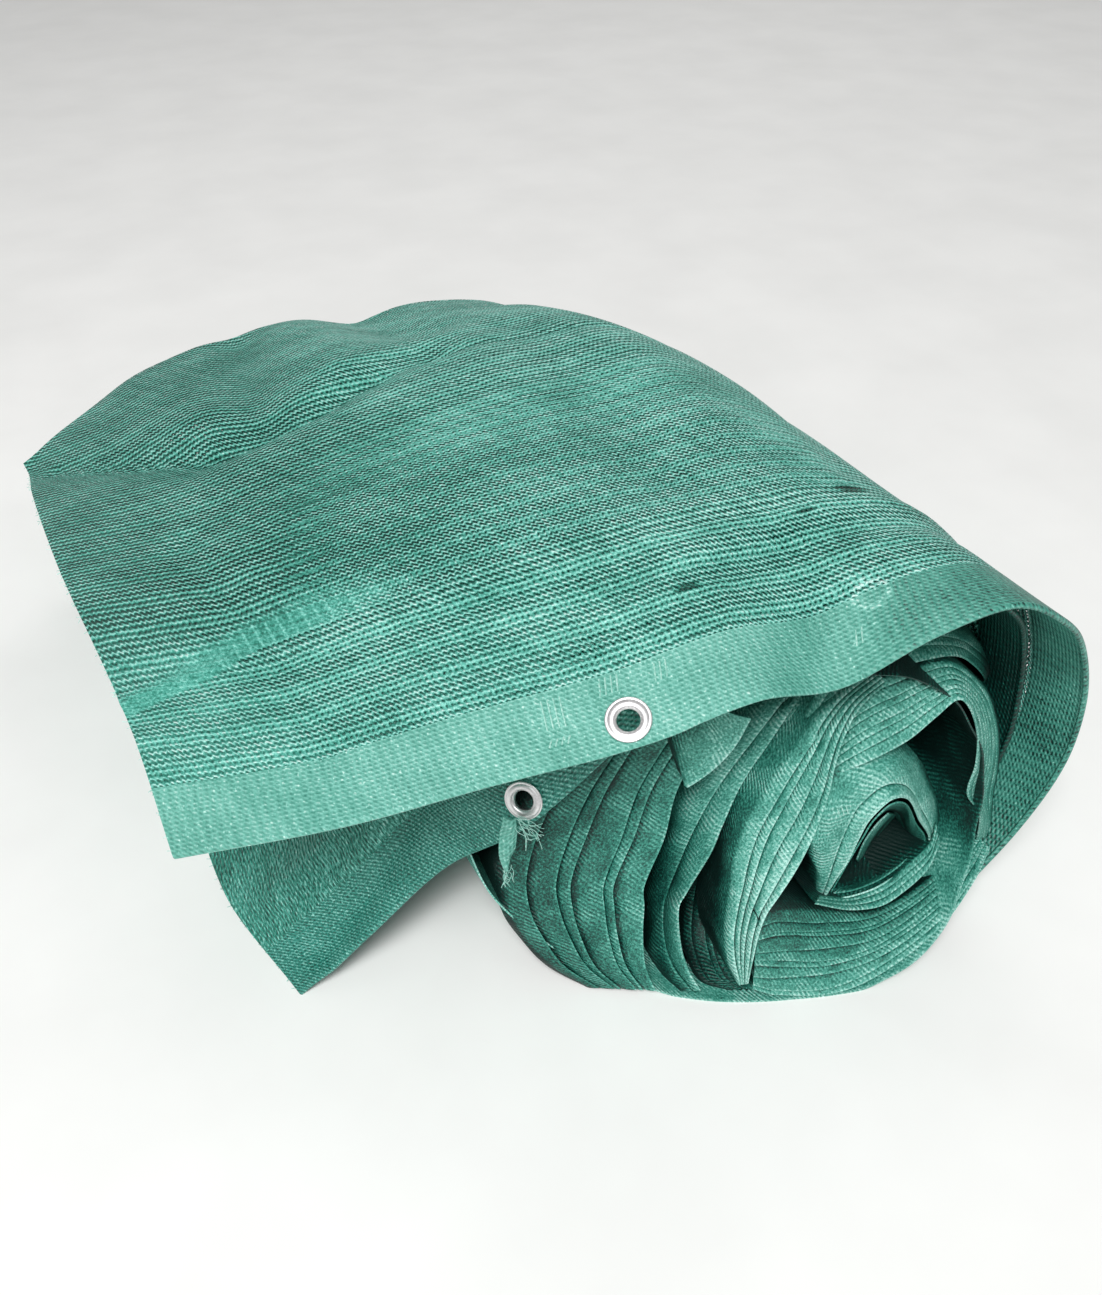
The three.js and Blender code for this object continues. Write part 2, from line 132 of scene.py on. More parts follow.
def lamp(name, place, target, size, watts):
    """A square soft lamp that faces the target."""
    light = bpy.data.lights.new(name, "AREA")
    light.size, light.energy = size, watts
    stand = bpy.data.objects.new(name, light)
    bpy.context.scene.collection.objects.link(stand)
    stand.location = place
    away = np.subtract(place, target)
    stand.rotation_euler = (
        math.atan2(math.hypot(away[0], away[1]), away[2]), 0, math.atan2(away[0], -away[1]))


# %% Floor and light
bpy.ops.object.select_all(action="DESELECT")
bpy.ops.mesh.primitive_plane_add(size=8)
floor = bpy.context.object
floor.name = "floor"
paper, tree = finish("matt white paper")
grain = node(tree, "TexNoise", {"Scale": 60.0, "Detail": 3.0})
tone = node(tree, "ValToRGB", {"stops": [(0.3, "#f4f4f2"), (0.7, "#fafaf8")]}, {"Fac": grain})
matt = node(tree, "BsdfPrincipled", {"Roughness": 0.9}, {"Base Color": tone})
node(tree, "OutputMaterial", {}, {"Surface": matt})
floor.data.materials.append(paper)
floor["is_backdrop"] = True

aim = (0, 0, 0.1)
lamp("soft key", (-1.2, -2.0, 3.1), aim, size=1.3, watts=122)
lamp("back fill", (1.6, 2.2, 2.2), aim, size=1.5, watts=9)
world = bpy.data.worlds.new("pale room")
bpy.context.scene.world = world
world.use_nodes = True
room = world.node_tree.nodes["Background"]
room.inputs["Color"].default_value = (1, 1, 1, 1)
room.inputs["Strength"].default_value = 0.36
bpy.context.scene.view_settings.view_transform = "Standard"

# %% [markdown]
# ## The form of the last turn
# Cloth that lies loose takes a form that a few measured places describe well. Each station below
# stands across the net, from its hem to the far fold, and smooth curves run through them. The
# numbers are millimetres, measured from the ground under the roll. The layer beneath leaves the
# upper one at the left, where its corner reaches the ground, and follows it closely elsewhere.

# %% Stations of the two layers
OUTER = [
    {"at": "cut end", "hem": (-330, 120, 160), "near": (-336, 190, 198),
     "mid": (-364, 400, 174), "fold": (-388, 655, 120)},
    {"at": "overhang", "hem": (-250, 62, 212), "near": (-262, 170, 236),
     "mid": (-285, 400, 204), "fold": (-306, 688, 146)},
    {"at": "sag", "hem": (-178, 46, 228), "near": (-187, 160, 262),
     "mid": (-205, 395, 236), "fold": (-222, 704, 172)},
    {"at": "eyelet", "hem": (-101, 30, 243), "near": (-105, 150, 288),
     "mid": (-122, 390, 266), "fold": (-142, 690, 188)},
    {"at": "ripple", "hem": (-42, 20, 262), "near": (-42, 145, 299),
     "mid": (-52, 385, 282), "fold": (-70, 668, 196)},
    {"at": "dip", "hem": (8, 20, 254), "near": (14, 145, 300),
     "mid": (8, 385, 286), "fold": (-12, 652, 202)},
    {"at": "rise", "hem": (52, 12, 280), "near": (62, 145, 294),
     "mid": (58, 380, 277), "fold": (38, 640, 198)},
    {"at": "crest", "hem": (98, 10, 287), "near": (105, 145, 277),
     "mid": (98, 378, 255), "fold": (72, 630, 182)},
    {"at": "shoulder", "hem": (140, 12, 262), "near": (142, 145, 243),
     "mid": (129, 376, 221), "fold": (98, 622, 154)},
    {"at": "side", "hem": (180, 26, 218), "near": (167, 145, 200),
     "mid": (149, 375, 180), "fold": (114, 616, 126)},
    {"at": "side low", "hem": (202, 30, 166), "near": (178, 145, 150),
     "mid": (157, 375, 138), "fold": (121, 612, 96)},
    {"at": "belly", "hem": (204, 30, 112), "near": (177, 145, 102),
     "mid": (154, 375, 96), "fold": (118, 610, 66)},
    {"at": "under", "hem": (184, 30, 58), "near": (158, 145, 54),
     "mid": (136, 375, 52), "fold": (104, 610, 38)},
    {"at": "tail", "hem": (138, 24, 12), "near": (118, 145, 14),
     "mid": (100, 375, 15), "fold": (76, 610, 14)},
]
INNER_LEFT = [
    {"at": "ground", "hem": (-282, 125, 1.3), "near": (-312, 225, 1.3),
     "mid": (-320, 400, 1.3), "fold": (-335, 615, 1.3)},
    {"at": "ramp", "hem": (-232, 122, 44), "near": (-246, 210, 58),
     "mid": (-262, 400, 70), "fold": (-282, 636, 50)},
    {"at": "rise", "hem": (-182, 120, 86), "near": (-196, 200, 136),
     "mid": (-212, 395, 142), "fold": (-219, 648, 104)},
    {"at": "eyelet", "hem": (-132, 100, 126), "near": (-152, 190, 226),
     "mid": (-160, 390, 215), "fold": (-156, 646, 146)},
]
# From "ripple" on, the gaps below the outer layer, and how far the inner hem is set back.
INNER_RIGHT = [
    {"at": "ripple", "hem": 20, "near": 14, "mid": 13, "fold": 14, "set_back": 50},
    {"at": "dip", "hem": 12, "near": 12, "mid": 12, "fold": 14, "set_back": 34},
    {"at": "rise", "hem": 10, "near": 12, "mid": 12, "fold": 14, "set_back": 24},
    {"at": "crest", "hem": 10, "near": 12, "mid": 12, "fold": 14, "set_back": 22},
    {"at": "shoulder", "hem": 14, "near": 12, "mid": 12, "fold": 14, "set_back": 24},
    {"at": "side", "hem": 20, "near": 14, "mid": 12, "fold": 14, "set_back": 26},
    {"at": "side low", "hem": 24, "near": 15, "mid": 12, "fold": 14, "set_back": 28},
    {"at": "belly", "hem": 22, "near": 15, "mid": 12, "fold": 14, "set_back": 28},
    {"at": "under", "hem": 16, "near": 13, "mid": 12, "fold": 12, "set_back": 28},
    {"at": "tail", "hem": 9, "near": 9, "mid": 9, "fold": 9, "set_back": 28},
]
ROLL_MIDDLE = np.array([0, 135])
COLUMNS = ("hem", "near", "mid", "fold")
SHARES = (0, 0.2, 0.58, 1)  # where the four columns lie across a layer
DEPTH = 640  # nominal width of a layer


def inner_stations():
    """The inner layer's stations: its own at the left, and then the outer ones drawn inwards."""
    rows = [dict(row) for row in INNER_LEFT]
    for over, gap in zip(OUTER[len(INNER_LEFT):], INNER_RIGHT):
        row = {}
        for column in COLUMNS:
            x, y, z = over[column]
            out = np.array([x, z]) - ROLL_MIDDLE
            x, z = np.array([x, z]) - gap[column] * out / np.hypot(*out)
            row[column] = (x, y + (gap["set_back"] if column == "hem" else 0), z)
        rows.append(row)
    return rows


print("stations:", len(OUTER), "outer,", len(inner_stations()), "inner")

# %% [markdown]
# ## Folds
# A loose net never lies smooth. The main folds are the broad troughs and ridges that shape the
# outline, and the creases are the finer ones that the eye reads as cloth. Both are soft lines
# with a height, a half width and a path. The path is given as the distance along the net and the
# distance in from the hem.

# %% Folds and creases
OUTER_FOLDS = [
    {"fold": "valley from the far corner", "height": -8, "width": 24,
     "path": [(0, 620), (60, 505), (122, 416), (216, 403), (300, 420)]},
    {"fold": "bank behind the valley", "height": 6, "width": 32, "path": [(110, 620), (135, 480)]},
    {"fold": "steep dip", "height": -8, "width": 22, "path": [(205, 620), (172, 430)]},
    {"fold": "ridge beside the dip", "height": 5, "width": 28, "path": [(262, 600), (250, 450)]},
    {"fold": "dent at the far edge", "height": -10, "width": 28, "path": [(318, 640), (322, 500)]},
    {"fold": "soft trough", "height": -4, "width": 26, "path": [(350, 150), (372, 430)]},
    {"fold": "soft ridge", "height": 3, "width": 28, "path": [(410, 200), (430, 520)]},
]
INNER_FOLDS = [
    {"fold": "front trough of the flap", "height": -7, "width": 18,
     "path": [(200, 60), (120, 40), (40, 20)]},
    {"fold": "ridge of the flap", "height": 5, "width": 18,
     "path": [(210, 100), (130, 110), (40, 90)]},
    {"fold": "back trough of the flap", "height": -6, "width": 20,
     "path": [(215, 150), (130, 200), (50, 200)]},
]
OUTER_CREASES = [
    {"fold": "edge of the band that shows through", "height": 1.6, "width": 7,
     "path": [(4, 154), (111, 128), (216, 115), (314, 102)]},
    {"fold": "ripple at the left", "height": -2.5, "width": 15, "path": [(95, 50), (80, 300)]},
    {"fold": "sharp bed of the valley", "height": -3, "width": 9,
     "path": [(20, 580), (70, 492), (128, 414), (200, 402), (262, 412)]},
    {"fold": "upper crease", "height": -2, "width": 8, "path": [(300, 408), (420, 380), (520, 352)]},
    {"fold": "slack above the hem", "height": 1.8, "width": 10,
     "path": [(330, 92), (430, 100), (540, 96), (640, 104)]},
    {"fold": "slack trough above the hem", "height": -1.8, "width": 9,
     "path": [(330, 74), (440, 80), (560, 74), (640, 82)]},
    {"fold": "right shoulder crease", "height": -2, "width": 12, "path": [(470, 140), (520, 330)]},
]
INNER_CREASES = [
    {"fold": "fine pleat", "height": 3, "width": 6, "path": [(190, 78), (110, 70), (30, 52)]},
    {"fold": "fine pleat", "height": -3, "width": 6, "path": [(205, 130), (130, 150), (60, 150)]},
    {"fold": "fine pleat", "height": 2.5, "width": 7, "path": [(230, 60), (180, 130), (120, 260)]},
]
print("folds:", len(OUTER_FOLDS + INNER_FOLDS), "and creases:", len(OUTER_CREASES + INNER_CREASES))

# %% [markdown]
# The next cell turns the tables into cloth. A cubic through the stations gives the smooth form,
# the folds lift or sink it along its normal, and round each eyelet the cloth is pressed flat, as
# the metal flange holds it.

# %% Curves and fold heights
def curve(knots, values, t):
    """A smooth curve through values at knots: a cubic with finite-difference slopes."""
    knots, values, t = np.asarray(knots, float), np.asarray(values, float), np.asarray(t, float)
    last = len(knots) - 1
    before, after = np.maximum(np.arange(last + 1) - 1, 0), np.minimum(np.arange(last + 1) + 1, last)
    spread = (knots[after] - knots[before]).reshape((-1,) + (1,) * (values.ndim - 1))
    slope = (values[after] - values[before]) / spread
    i = np.clip(np.searchsorted(knots, t, side="right") - 1, 0, last - 1)
    shape = t.shape + (1,) * (values.ndim - 1)
    h = (knots[i + 1] - knots[i]).reshape(shape)
    s = (t - knots[i]).reshape(shape) / h
    return ((1 + 2 * s) * (1 - s) ** 2 * values[i] + s * (1 - s) ** 2 * h * slope[i]
            + s * s * (3 - 2 * s) * values[i + 1] + s * s * (s - 1) * h * slope[i + 1])


def unit(vectors):
    """The same directions at length one."""
    return vectors / np.linalg.norm(vectors, axis=-1, keepdims=True)


def smooth(low, high, x):
    """0 below low, 1 above high, and an even S between them."""
    s = np.clip((x - low) / (high - low), 0, 1)
    return s * s * (3 - 2 * s)


def fold_height(folds, u, w):
    """How far the folds lift the cloth at a distance along the net and in from the hem."""
    height = np.zeros(np.broadcast(u, w).shape)
    for fold in folds:
        nearest = np.full(height.shape, 1e9)
        for (ax, ay), (bx, by) in zip(fold["path"], fold["path"][1:]):
            run = (bx - ax) ** 2 + (by - ay) ** 2
            s = np.clip(((u - ax) * (bx - ax) + (w - ay) * (by - ay)) / run, 0, 1)
            gap = np.hypot(u - ax - s * (bx - ax), w - ay - s * (by - ay))
            nearest = np.minimum(nearest, gap)
        height += fold["height"] * np.exp(-((nearest / fold["width"]) ** 2))
    return height


# %% A layer of the last turn
EYELETS = [
    {"name": "outer_eyelet", "layer": "outer", "along": 259, "inset": 14},
    {"name": "inner_eyelet", "layer": "inner", "along": 268.5, "inset": 14},
    {"name": "covered_eyelet", "layer": "inner", "along": 490, "inset": 16},
]
PRESSED, EASED = 20, 34  # millimetres round an eyelet: pressed flat, and free again
HEM = 40


class Layer:
    """One layer of the last turn. A place on it is u, mm along, and v, its share of the width."""

    def __init__(self, name, stations, folds, creases):
        self.stations = np.array([[row[c] for c in COLUMNS] for row in stations], float)
        steps = np.linalg.norm(np.diff(self.stations[:, 2], axis=0), axis=1)
        self.along = np.concatenate([[0], np.cumsum(steps)])
        self.folds, self.creases = folds, creases
        self.eyelets = [self.seat(e) for e in EYELETS if e["layer"] == name]

    def form(self, u, v):
        """The smooth form through the stations."""
        u, v = np.broadcast_arrays(np.asarray(u, float), np.asarray(v, float))
        row = curve(self.along, self.stations, u)
        return (curve(SHARES, np.eye(4), v)[..., None] * row).sum(-2)

    def normal(self, u, v):
        """The way the smooth form faces."""
        du = self.form(u + 1, v) - self.form(u - 1, v)
        dv = self.form(u, v + 1 / DEPTH) - self.form(u, v - 1 / DEPTH)
        return unit(np.cross(du, dv))

    def share(self, u, inset):
        """The share of the width that lies so many mm in from the hem's edge."""
        near = np.linalg.norm(self.form(u, 0) - self.form(u, SHARES[1]), axis=-1)
        return inset * SHARES[1] / near

    def seat(self, eyelet):
        """Where an eyelet sits, and the way it faces."""
        u, v = eyelet["along"], self.share(eyelet["along"], eyelet["inset"])
        facing = self.normal(u, v)
        centre = self.form(u, v) + facing * fold_height(self.folds, u, v * DEPTH)
        return {"name": eyelet["name"], "centre": centre, "facing": facing}

    def point(self, u, v):
        """A point of the cloth, with its folds and creases, flat round each eyelet."""
        height = fold_height(self.folds + self.creases, u, v * DEPTH)
        p = self.form(u, v) + self.normal(u, v) * height[..., None]
        for eyelet in self.eyelets:
            off = p - eyelet["centre"]
            free = smooth(PRESSED, EASED, np.linalg.norm(off, axis=-1))
            p = p + ((free - 1) * (off @ eyelet["facing"]))[..., None] * eyelet["facing"]
        return p


# %% Both layers, set on the frame
outer = Layer("outer", OUTER, OUTER_FOLDS, OUTER_CREASES)
inner = Layer("inner", inner_stations(), INNER_FOLDS, INNER_CREASES)
seats = {e["name"]: e for layer in (outer, inner) for e in layer.eyelets}
# The frame's origin is the middle of the footprint. An eyelet's box shows how far that is.
low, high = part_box("outer_eyelet")
SHIFT = (np.array(low) + np.array(high)) / 2 / MM - seats["outer_eyelet"]["centre"]
for name, seat in seats.items():
    low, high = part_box(name)
    miss = (np.array(low) + np.array(high)) / 2 / MM - seat["centre"] - SHIFT
    print(name, "is off the solid by", np.round(miss, 3), "mm")

# %% [markdown]
# ## Laying cloth
# Each sheet starts as a flat grid, as cloth comes off the roll, and is laid point by point on its
# place. Its UV map holds millimetres along and across the knit, so that the stitches keep their
# size wherever the cloth bends. A Solidify modifier then gives it its thickness.

# %% Lay a sheet
def lay(name, points, marks, thickness, hollow=None, closed=None):
    """A grid of cloth, laid on points (mm), marked in mm, with its thickness in mm.

    The attribute of painted shade says how dark each point is painted, mostly from 0 to 1 and below 0
    painted light, darker where the point lies deep between the turns, and "closed" says how far the
    stitches are closed."""
    across, along = points.shape[:2]
    bpy.ops.object.select_all(action="DESELECT")
    bpy.ops.mesh.primitive_grid_add(x_subdivisions=across - 1, y_subdivisions=along - 1, size=2)
    piece = bpy.context.object
    piece.name = piece.data.name = name
    flat = np.empty(len(piece.data.vertices) * 3)
    piece.data.vertices.foreach_get("co", flat)
    flat = flat.reshape(-1, 3)
    i = np.rint((flat[:, 0] + 1) / 2 * (across - 1)).astype(int)
    j = np.rint((flat[:, 1] + 1) / 2 * (along - 1)).astype(int)
    piece.data.vertices.foreach_set("co", ((points[i, j] + SHIFT) * MM).ravel())
    corners = np.empty(len(piece.data.loops), int)
    piece.data.loops.foreach_get("vertex_index", corners)
    knit = piece.data.uv_layers.active
    knit.name = "knit"
    knit.data.foreach_set("uv", marks[i, j][corners].ravel())
    for trait, values in (("hollow", hollow), ("closed", closed)):
        if values is not None:
            kept = piece.data.attributes.new(trait, "FLOAT", "POINT")
            kept.data.foreach_set("value", values[i, j].ravel())
    wall = piece.modifiers.new("thickness", "SOLIDIFY")
    wall.thickness, wall.offset = thickness * MM, 0
    bpy.ops.object.modifier_apply(modifier=wall.name)
    bpy.ops.object.shade_smooth_by_angle(angle=math.radians(60))
    return piece


# %% Measure a grid, and dress a piece
def lengths(points, axis):
    """Distance run along one axis of a grid of points."""
    steps = np.linalg.norm(np.diff(points, axis=axis), axis=-1)
    start = np.zeros_like(np.take(steps, [0], axis=axis))
    return np.concatenate([start, np.cumsum(steps, axis=axis)], axis=axis)


def dressed(piece, material, slot, *nodes):
    """Gives a piece its finish, sets it on the frame, and hides the solids it stands for."""
    piece.data.materials.clear()
    piece.data.materials.append(material)
    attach(piece, "root")
    if nodes:
        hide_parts(*nodes)
    print(piece.name, len(piece.data.polygons), "faces")
    return piece

# %% [markdown]
# ## Finish of the net
# The net is knitted polyethylene tape: chains of loops run along it, 4 mm apart, and slanted
# bars tie them together, one every 3.4 mm. It could be modelled thread by thread, but its sixty
# thousand openings would be too heavy, so the pattern is drawn by waves on the UV map: one wave
# makes the chains, a slanted one makes the bars, and where both are low there is an opening, set
# by Alpha. The plastic is mid green, with an IOR of 1.5. Drawn tape is smooth, so its roughness is
# a little under a half, and it looks pale and slightly glossy where the light catches it. Its
# fibres are too fine to show, so their grain is drawn 1.7 mm wide.
#
# First come the few things that every knit below is made of: waves, weighted sums, products, and
# marks that wander a little. Two marks follow them: a small pale speckled ring over the covered
# eyelet below, and a few slits where the stitches have parted, painted dark as painted shade.

# %% Waves, sums, products and marks
ROW, BAR = 4.0, 3.4  # mm between chains, and between bars
RIB = 3.0  # mm between the fine ribs of stretched cloth
GRAIN = 0.6  # grains of fibre to a mm


def wave(tree, marks, along, across):
    """A cosine wave over the cloth's marks, with so many turns to a millimetre each way."""
    turns = (2 * math.pi * along, 2 * math.pi * across, 0)
    phase = node(tree, "VectorMath", {"operation": "DOT_PRODUCT", 1: turns}, {0: marks})
    return node(tree, "Math", {"operation": "COSINE"}, {0: phase.outputs["Value"]})


def blended(tree, parts, start=0.0):
    """A weighted sum of values: parts are (value, weight)."""
    total = None
    for value, weight in parts:
        links = {0: value} if total is None else {0: value, 2: total}
        total = node(tree, "Math", {"operation": "MULTIPLY_ADD", 1: weight, 2: start}, links)
    return total


def product(tree, total, *others):
    """Several values multiplied, as when one fades another out."""
    for value in others:
        total = node(tree, "Math", {"operation": "MULTIPLY"}, {0: total, 1: value})
    return total


def knit_marks(tree, wander):
    """The UV map in millimetres, as it is and made a little uneven, as a loose knit is."""
    flat = node(tree, "UVMap", {"uv_map": "knit"})
    drift = node(tree, "TexNoise", {"Scale": 1 / 20, "Detail": 4.0, "Roughness": 0.6}, {"Vector": flat})
    bent = node(tree, "VectorMath", {"operation": "MULTIPLY_ADD", 1: (wander, wander * 0.6, 0)},
                {0: drift.outputs["Color"], 2: flat})
    return flat, bent


EYELET_RING = {"centre": (426, 41, 0), "radius": 9.5}
PARTED = [  # centre and half size of each slit, mm
    ((322, 78), (8, 2.2)), ((456, 127), (11, 3.2)), ((415, 112), (7, 1.6)),
]


def ring_over_eyelet(tree, marks):
    """A pale speckled ring over the covered eyelet below."""
    reach = node(tree, "VectorMath", {"operation": "DISTANCE", 1: EYELET_RING["centre"]}, {0: marks})
    off = node(tree, "Math", {"operation": "SUBTRACT", 1: EYELET_RING["radius"]}, {0: reach.outputs["Value"]})
    off = node(tree, "Math", {"operation": "ABSOLUTE"}, {0: off})
    ring = node(tree, "MapRange", {"From Min": 3.2, "From Max": 0.8}, {"Value": off})
    specks = node(tree, "TexNoise", {"Scale": 0.5, "Detail": 2.0}, {"Vector": marks})
    speckled = node(tree, "MapRange", {"From Min": 0.4, "From Max": 0.6}, {"Value": specks})
    return product(tree, ring, speckled)


def parted_slit_shade(tree, marks):
    """1 in the few slits where stitches have parted, painted dark as painted shade, and 0 elsewhere."""
    slits = []
    for centre, half_size in PARTED:
        off = node(tree, "VectorMath", {"operation": "SUBTRACT", 1: (*centre, 0)}, {0: marks})
        off = node(tree, "VectorMath", {"operation": "DIVIDE", 1: (*half_size, 1)}, {0: off})
        reach = node(tree, "VectorMath", {"operation": "LENGTH"}, {0: off}).outputs["Value"]
        slit = node(tree, "MapRange", {"From Min": 1.3, "From Max": 0.6}, {"Value": reach})
        slits.append((slit, 1.0))
    return blended(tree, slits)


# %% Chains and bars of the net
net_finish, tree = finish("knitted polyethylene net")
flat_marks, marks = knit_marks(tree, 6.0)
# The bars pull each chain into a small zigzag.
pulled = node(tree, "VectorMath", {"operation": "MULTIPLY_ADD", 1: (0, 0.5, 0)},
              {0: wave(tree, marks, 1 / BAR, 0), 2: marks})
chains = wave(tree, pulled, 0, 1 / ROW)
# Single stitches are tight or slack: an uneven spot is about as large as one stitch.
spots = node(tree, "TexNoise", {"Scale": 0.3, "Detail": 2.0, "Roughness": 0.7}, {"Vector": marks})
slack_bars = product(tree, wave(tree, marks, 1 / BAR, 1.2 / ROW), spots)
# The chains of the layer beneath lie at a slight angle, so both together show slow slanted beats.
beats = product(tree, chains, wave(tree, marks, 0.066, 1 / ROW + 0.034))
# Slack and stretched patches, some 60 by 35 mm.
stretch = node(tree, "Mapping", {"Scale": (1 / 60, 1 / 35, 1)}, {"Vector": flat_marks})
patches = node(tree, "TexNoise", {"Scale": 1.0, "Detail": 5.0, "Roughness": 0.6}, {"Vector": stretch})
fibres = node(tree, "TexNoise", {"Scale": GRAIN, "Detail": 3.0, "Roughness": 0.75},
              {"Vector": flat_marks})
print("openings in a square decimetre:", round(100 / ROW * 100 / BAR))

# %% [markdown]
# ### What lies beneath shows through
# A dense band of the turn beneath shows through at the left, as a plain stripe with pale columns,
# 7.6 mm apart. Its near edge rises from the cut end and then runs level with the hem. Right of it
# the rows of both layers interleave, so that half as many again are seen. Both are drawn as masks
# in millimetres along the net and in from the hem.

# %% Dense band and interleaved rows
PALE_COLUMN = 7.6  # mm between the band's pale columns
split = node(tree, "SeparateXYZ", {}, {"Vector": flat_marks})
along, inwards = split.outputs["X"], split.outputs["Y"]
rising = blended(tree, [(along, 0.37)], 97.0)
edge = node(tree, "Math", {"operation": "MINIMUM", 1: 130.0}, {0: rising})
inset = node(tree, "Math", {"operation": "SUBTRACT"}, {0: inwards, 1: edge})
inside = node(tree, "MapRange", {"From Min": -1.0, "From Max": 1.0}, {"Value": inset})
upper_side = node(tree, "MapRange", {"From Min": 19.0, "From Max": 12.0}, {"Value": inset})
right_end = node(tree, "MapRange", {"From Min": 190.0, "From Max": 110.0}, {"Value": along})
band = product(tree, inside, upper_side, right_end)
columns = node(tree, "MapRange", {"From Min": 0.5, "From Max": 1.0},
               {"Value": wave(tree, flat_marks, 1 / PALE_COLUMN, 0)})
left_end = node(tree, "MapRange", {"From Min": 55.0, "From Max": 85.0}, {"Value": along})
band_columns = product(tree, columns, left_end, band)
start = blended(tree, [(along, 1.0), (inwards, -0.45)])
right = node(tree, "MapRange", {"From Min": 40.0, "From Max": 90.0}, {"Value": start})
near = node(tree, "MapRange", {"From Min": 270.0, "From Max": 200.0}, {"Value": inwards})
left = node(tree, "MapRange", {"From Min": 480.0, "From Max": 410.0}, {"Value": along})
rows = node(tree, "Mix", {"data_type": "FLOAT", "clamp_factor": False},
            {0: product(tree, inside, right, near, left), 2: chains,
             3: wave(tree, pulled, 0, 1.55 / ROW)})
print("nodes so far:", len(tree.nodes))

# %% [markdown]
# ### Threads, openings and tone
# One sum says how much tape there is at a place, and where it is low the cloth is open. Another
# sum makes the tone. In the band, along the hem beneath and at the cut end the stitches lie closed
# and plain; the closed stitches are also painted a little darker, a painted shade. Over a dark space
# painted shade lowers the tone, less on the chains than between them.

# %% Openings, tone and relief of the net
closed = node(tree, "Attribute", {"attribute_name": "closed"}).outputs["Fac"]
hollow = node(tree, "Attribute", {"attribute_name": "hollow"}).outputs["Fac"]
smoothed = node(tree, "Math", {"operation": "MAXIMUM"}, {0: band, 1: closed})
plain = blended(tree, [(smoothed, -0.75)], 1.0)
chains = product(tree, rows, plain)
bars = product(tree, slack_bars, plain)
ribs = product(tree, closed, wave(tree, marks, 1 / RIB, 0.04))
cut_end = node(tree, "MapRange", {"From Min": 30.0, "From Max": 130.0, "To Min": 0.6, "To Max": 0.0},
               {"Value": along})
thread = blended(tree, [
    (chains, 0.6), (bars, 0.65), (spots, 0.9), (patches, -0.9), (band, 0.6), (beats, 0.1),
    (hollow, -0.25), (closed, 1.4), (ribs, 0.5), (cut_end, 1.0)], 0.1)
opening = node(tree, "MapRange", {"From Min": -0.55, "From Max": -0.3}, {"Value": thread})
# Painted shade lowers the tone where the painted shade attribute is high, on the closed stitches and in
# the parted slits.
shade = blended(tree, [
    (chains, 0.19), (bars, 0.17), (fibres, 0.95), (spots, 0.4), (patches, -0.45), (band, -0.04),
    (beats, 0.05), (product(tree, chains, hollow), 0.3), (parted_slit_shade(tree, flat_marks), -0.45),
    (ribs, 0.1), (product(tree, closed, fibres), 0.9), (closed, -0.55), (band_columns, 0.16),
    (hollow, -0.4), (ring_over_eyelet(tree, flat_marks), 0.4)], 0.1)
colour = node(tree, "ValToRGB", {"stops": [
    (0.12, "#07463b"), (0.38, "#2b8371"), (0.56, "#58b09f"), (0.74, "#8ddacb"), (0.94, "#d0f6ed")]},
    {"Fac": shade})
relief = node(tree, "Bump", {"Strength": 1.0, "Distance": 0.0009}, {"Height": thread})
plastic = node(tree, "BsdfPrincipled", {"Roughness": 0.45, "IOR": 1.5, "Specular IOR Level": 0.4},
               {"Base Color": colour, "Alpha": opening, "Normal": relief})
node(tree, "OutputMaterial", {}, {"Surface": plastic})
print(net_finish.name + ":", len(tree.nodes), "nodes")

# %% [markdown]
# ## Finish of the hem
# Along its edges the net is knitted close: the chains stand 2.6 mm apart and leave no openings.
# Fine columns cross them about every 7 mm. The upper side shines a little, and pale glints are
# painted on the tapes as a painted highlight. The layer beneath gets a darker copy, a painted shade
# for the shadow of the layer above, with cross ribs that stand out more and a coarser grain, so one
# function makes both from their tones and weights.

# %% Close-knitted hem
CLOSE_ROW = 2.6  # mm between the hem's chains


def hem_material(name, tones, rows, ribs, grain):
    """The close knit in four tones, from the gaps between the tapes to their shine, and how strongly
    its rows, the ribs across them and the grain of the tape show."""
    material, tree = finish(name)
    flat_marks, marks = knit_marks(tree, 2.0)
    chains = wave(tree, marks, 0, 1 / CLOSE_ROW)
    loops = wave(tree, marks, 1 / BAR, 0.3)
    columns = wave(tree, marks, 1 / (2 * BAR), 0)
    fibres = node(tree, "TexNoise", {"Scale": GRAIN, "Detail": 4.0, "Roughness": 0.75},
                  {"Vector": flat_marks})
    patches = node(tree, "TexNoise", {"Scale": 0.03, "Detail": 4.0}, {"Vector": flat_marks})
    # Painted highlight: pale glints on the tapes.
    glints = node(tree, "TexNoise", {"Scale": 0.45, "Detail": 1.0}, {"Vector": marks})
    bright = node(tree, "MapRange", {"From Min": 0.63, "From Max": 0.75, "To Max": 0.35},
                  {"Value": glints})
    hollow = node(tree, "Attribute", {"attribute_name": "hollow"}).outputs["Fac"]
    # Painted shade lowers the tone where the painted shade attribute is high.
    shade = blended(tree, [
        (chains, rows), (loops, ribs), (columns, 0.05), (fibres, grain), (patches, 0.5), (bright, 1.0),
        (hollow, -0.5), (ring_over_eyelet(tree, flat_marks), 0.4)], 0.24 - grain / 2)
    stops = list(zip((0.0, 0.2, 0.42, 0.62, 0.95), ("#082e28",) + tones))
    colour = node(tree, "ValToRGB", {"stops": stops}, {"Fac": shade})
    height = blended(tree, [(chains, 0.4), (loops, 0.35), (fibres, 0.9)])
    relief = node(tree, "Bump", {"Strength": 0.8, "Distance": 0.0005}, {"Height": height})
    plastic = node(tree, "BsdfPrincipled", {"Roughness": 0.42, "IOR": 1.5},
                   {"Base Color": colour, "Normal": relief})
    node(tree, "OutputMaterial", {}, {"Surface": plastic})
    print(name + ":", len(tree.nodes), "nodes")
    return material


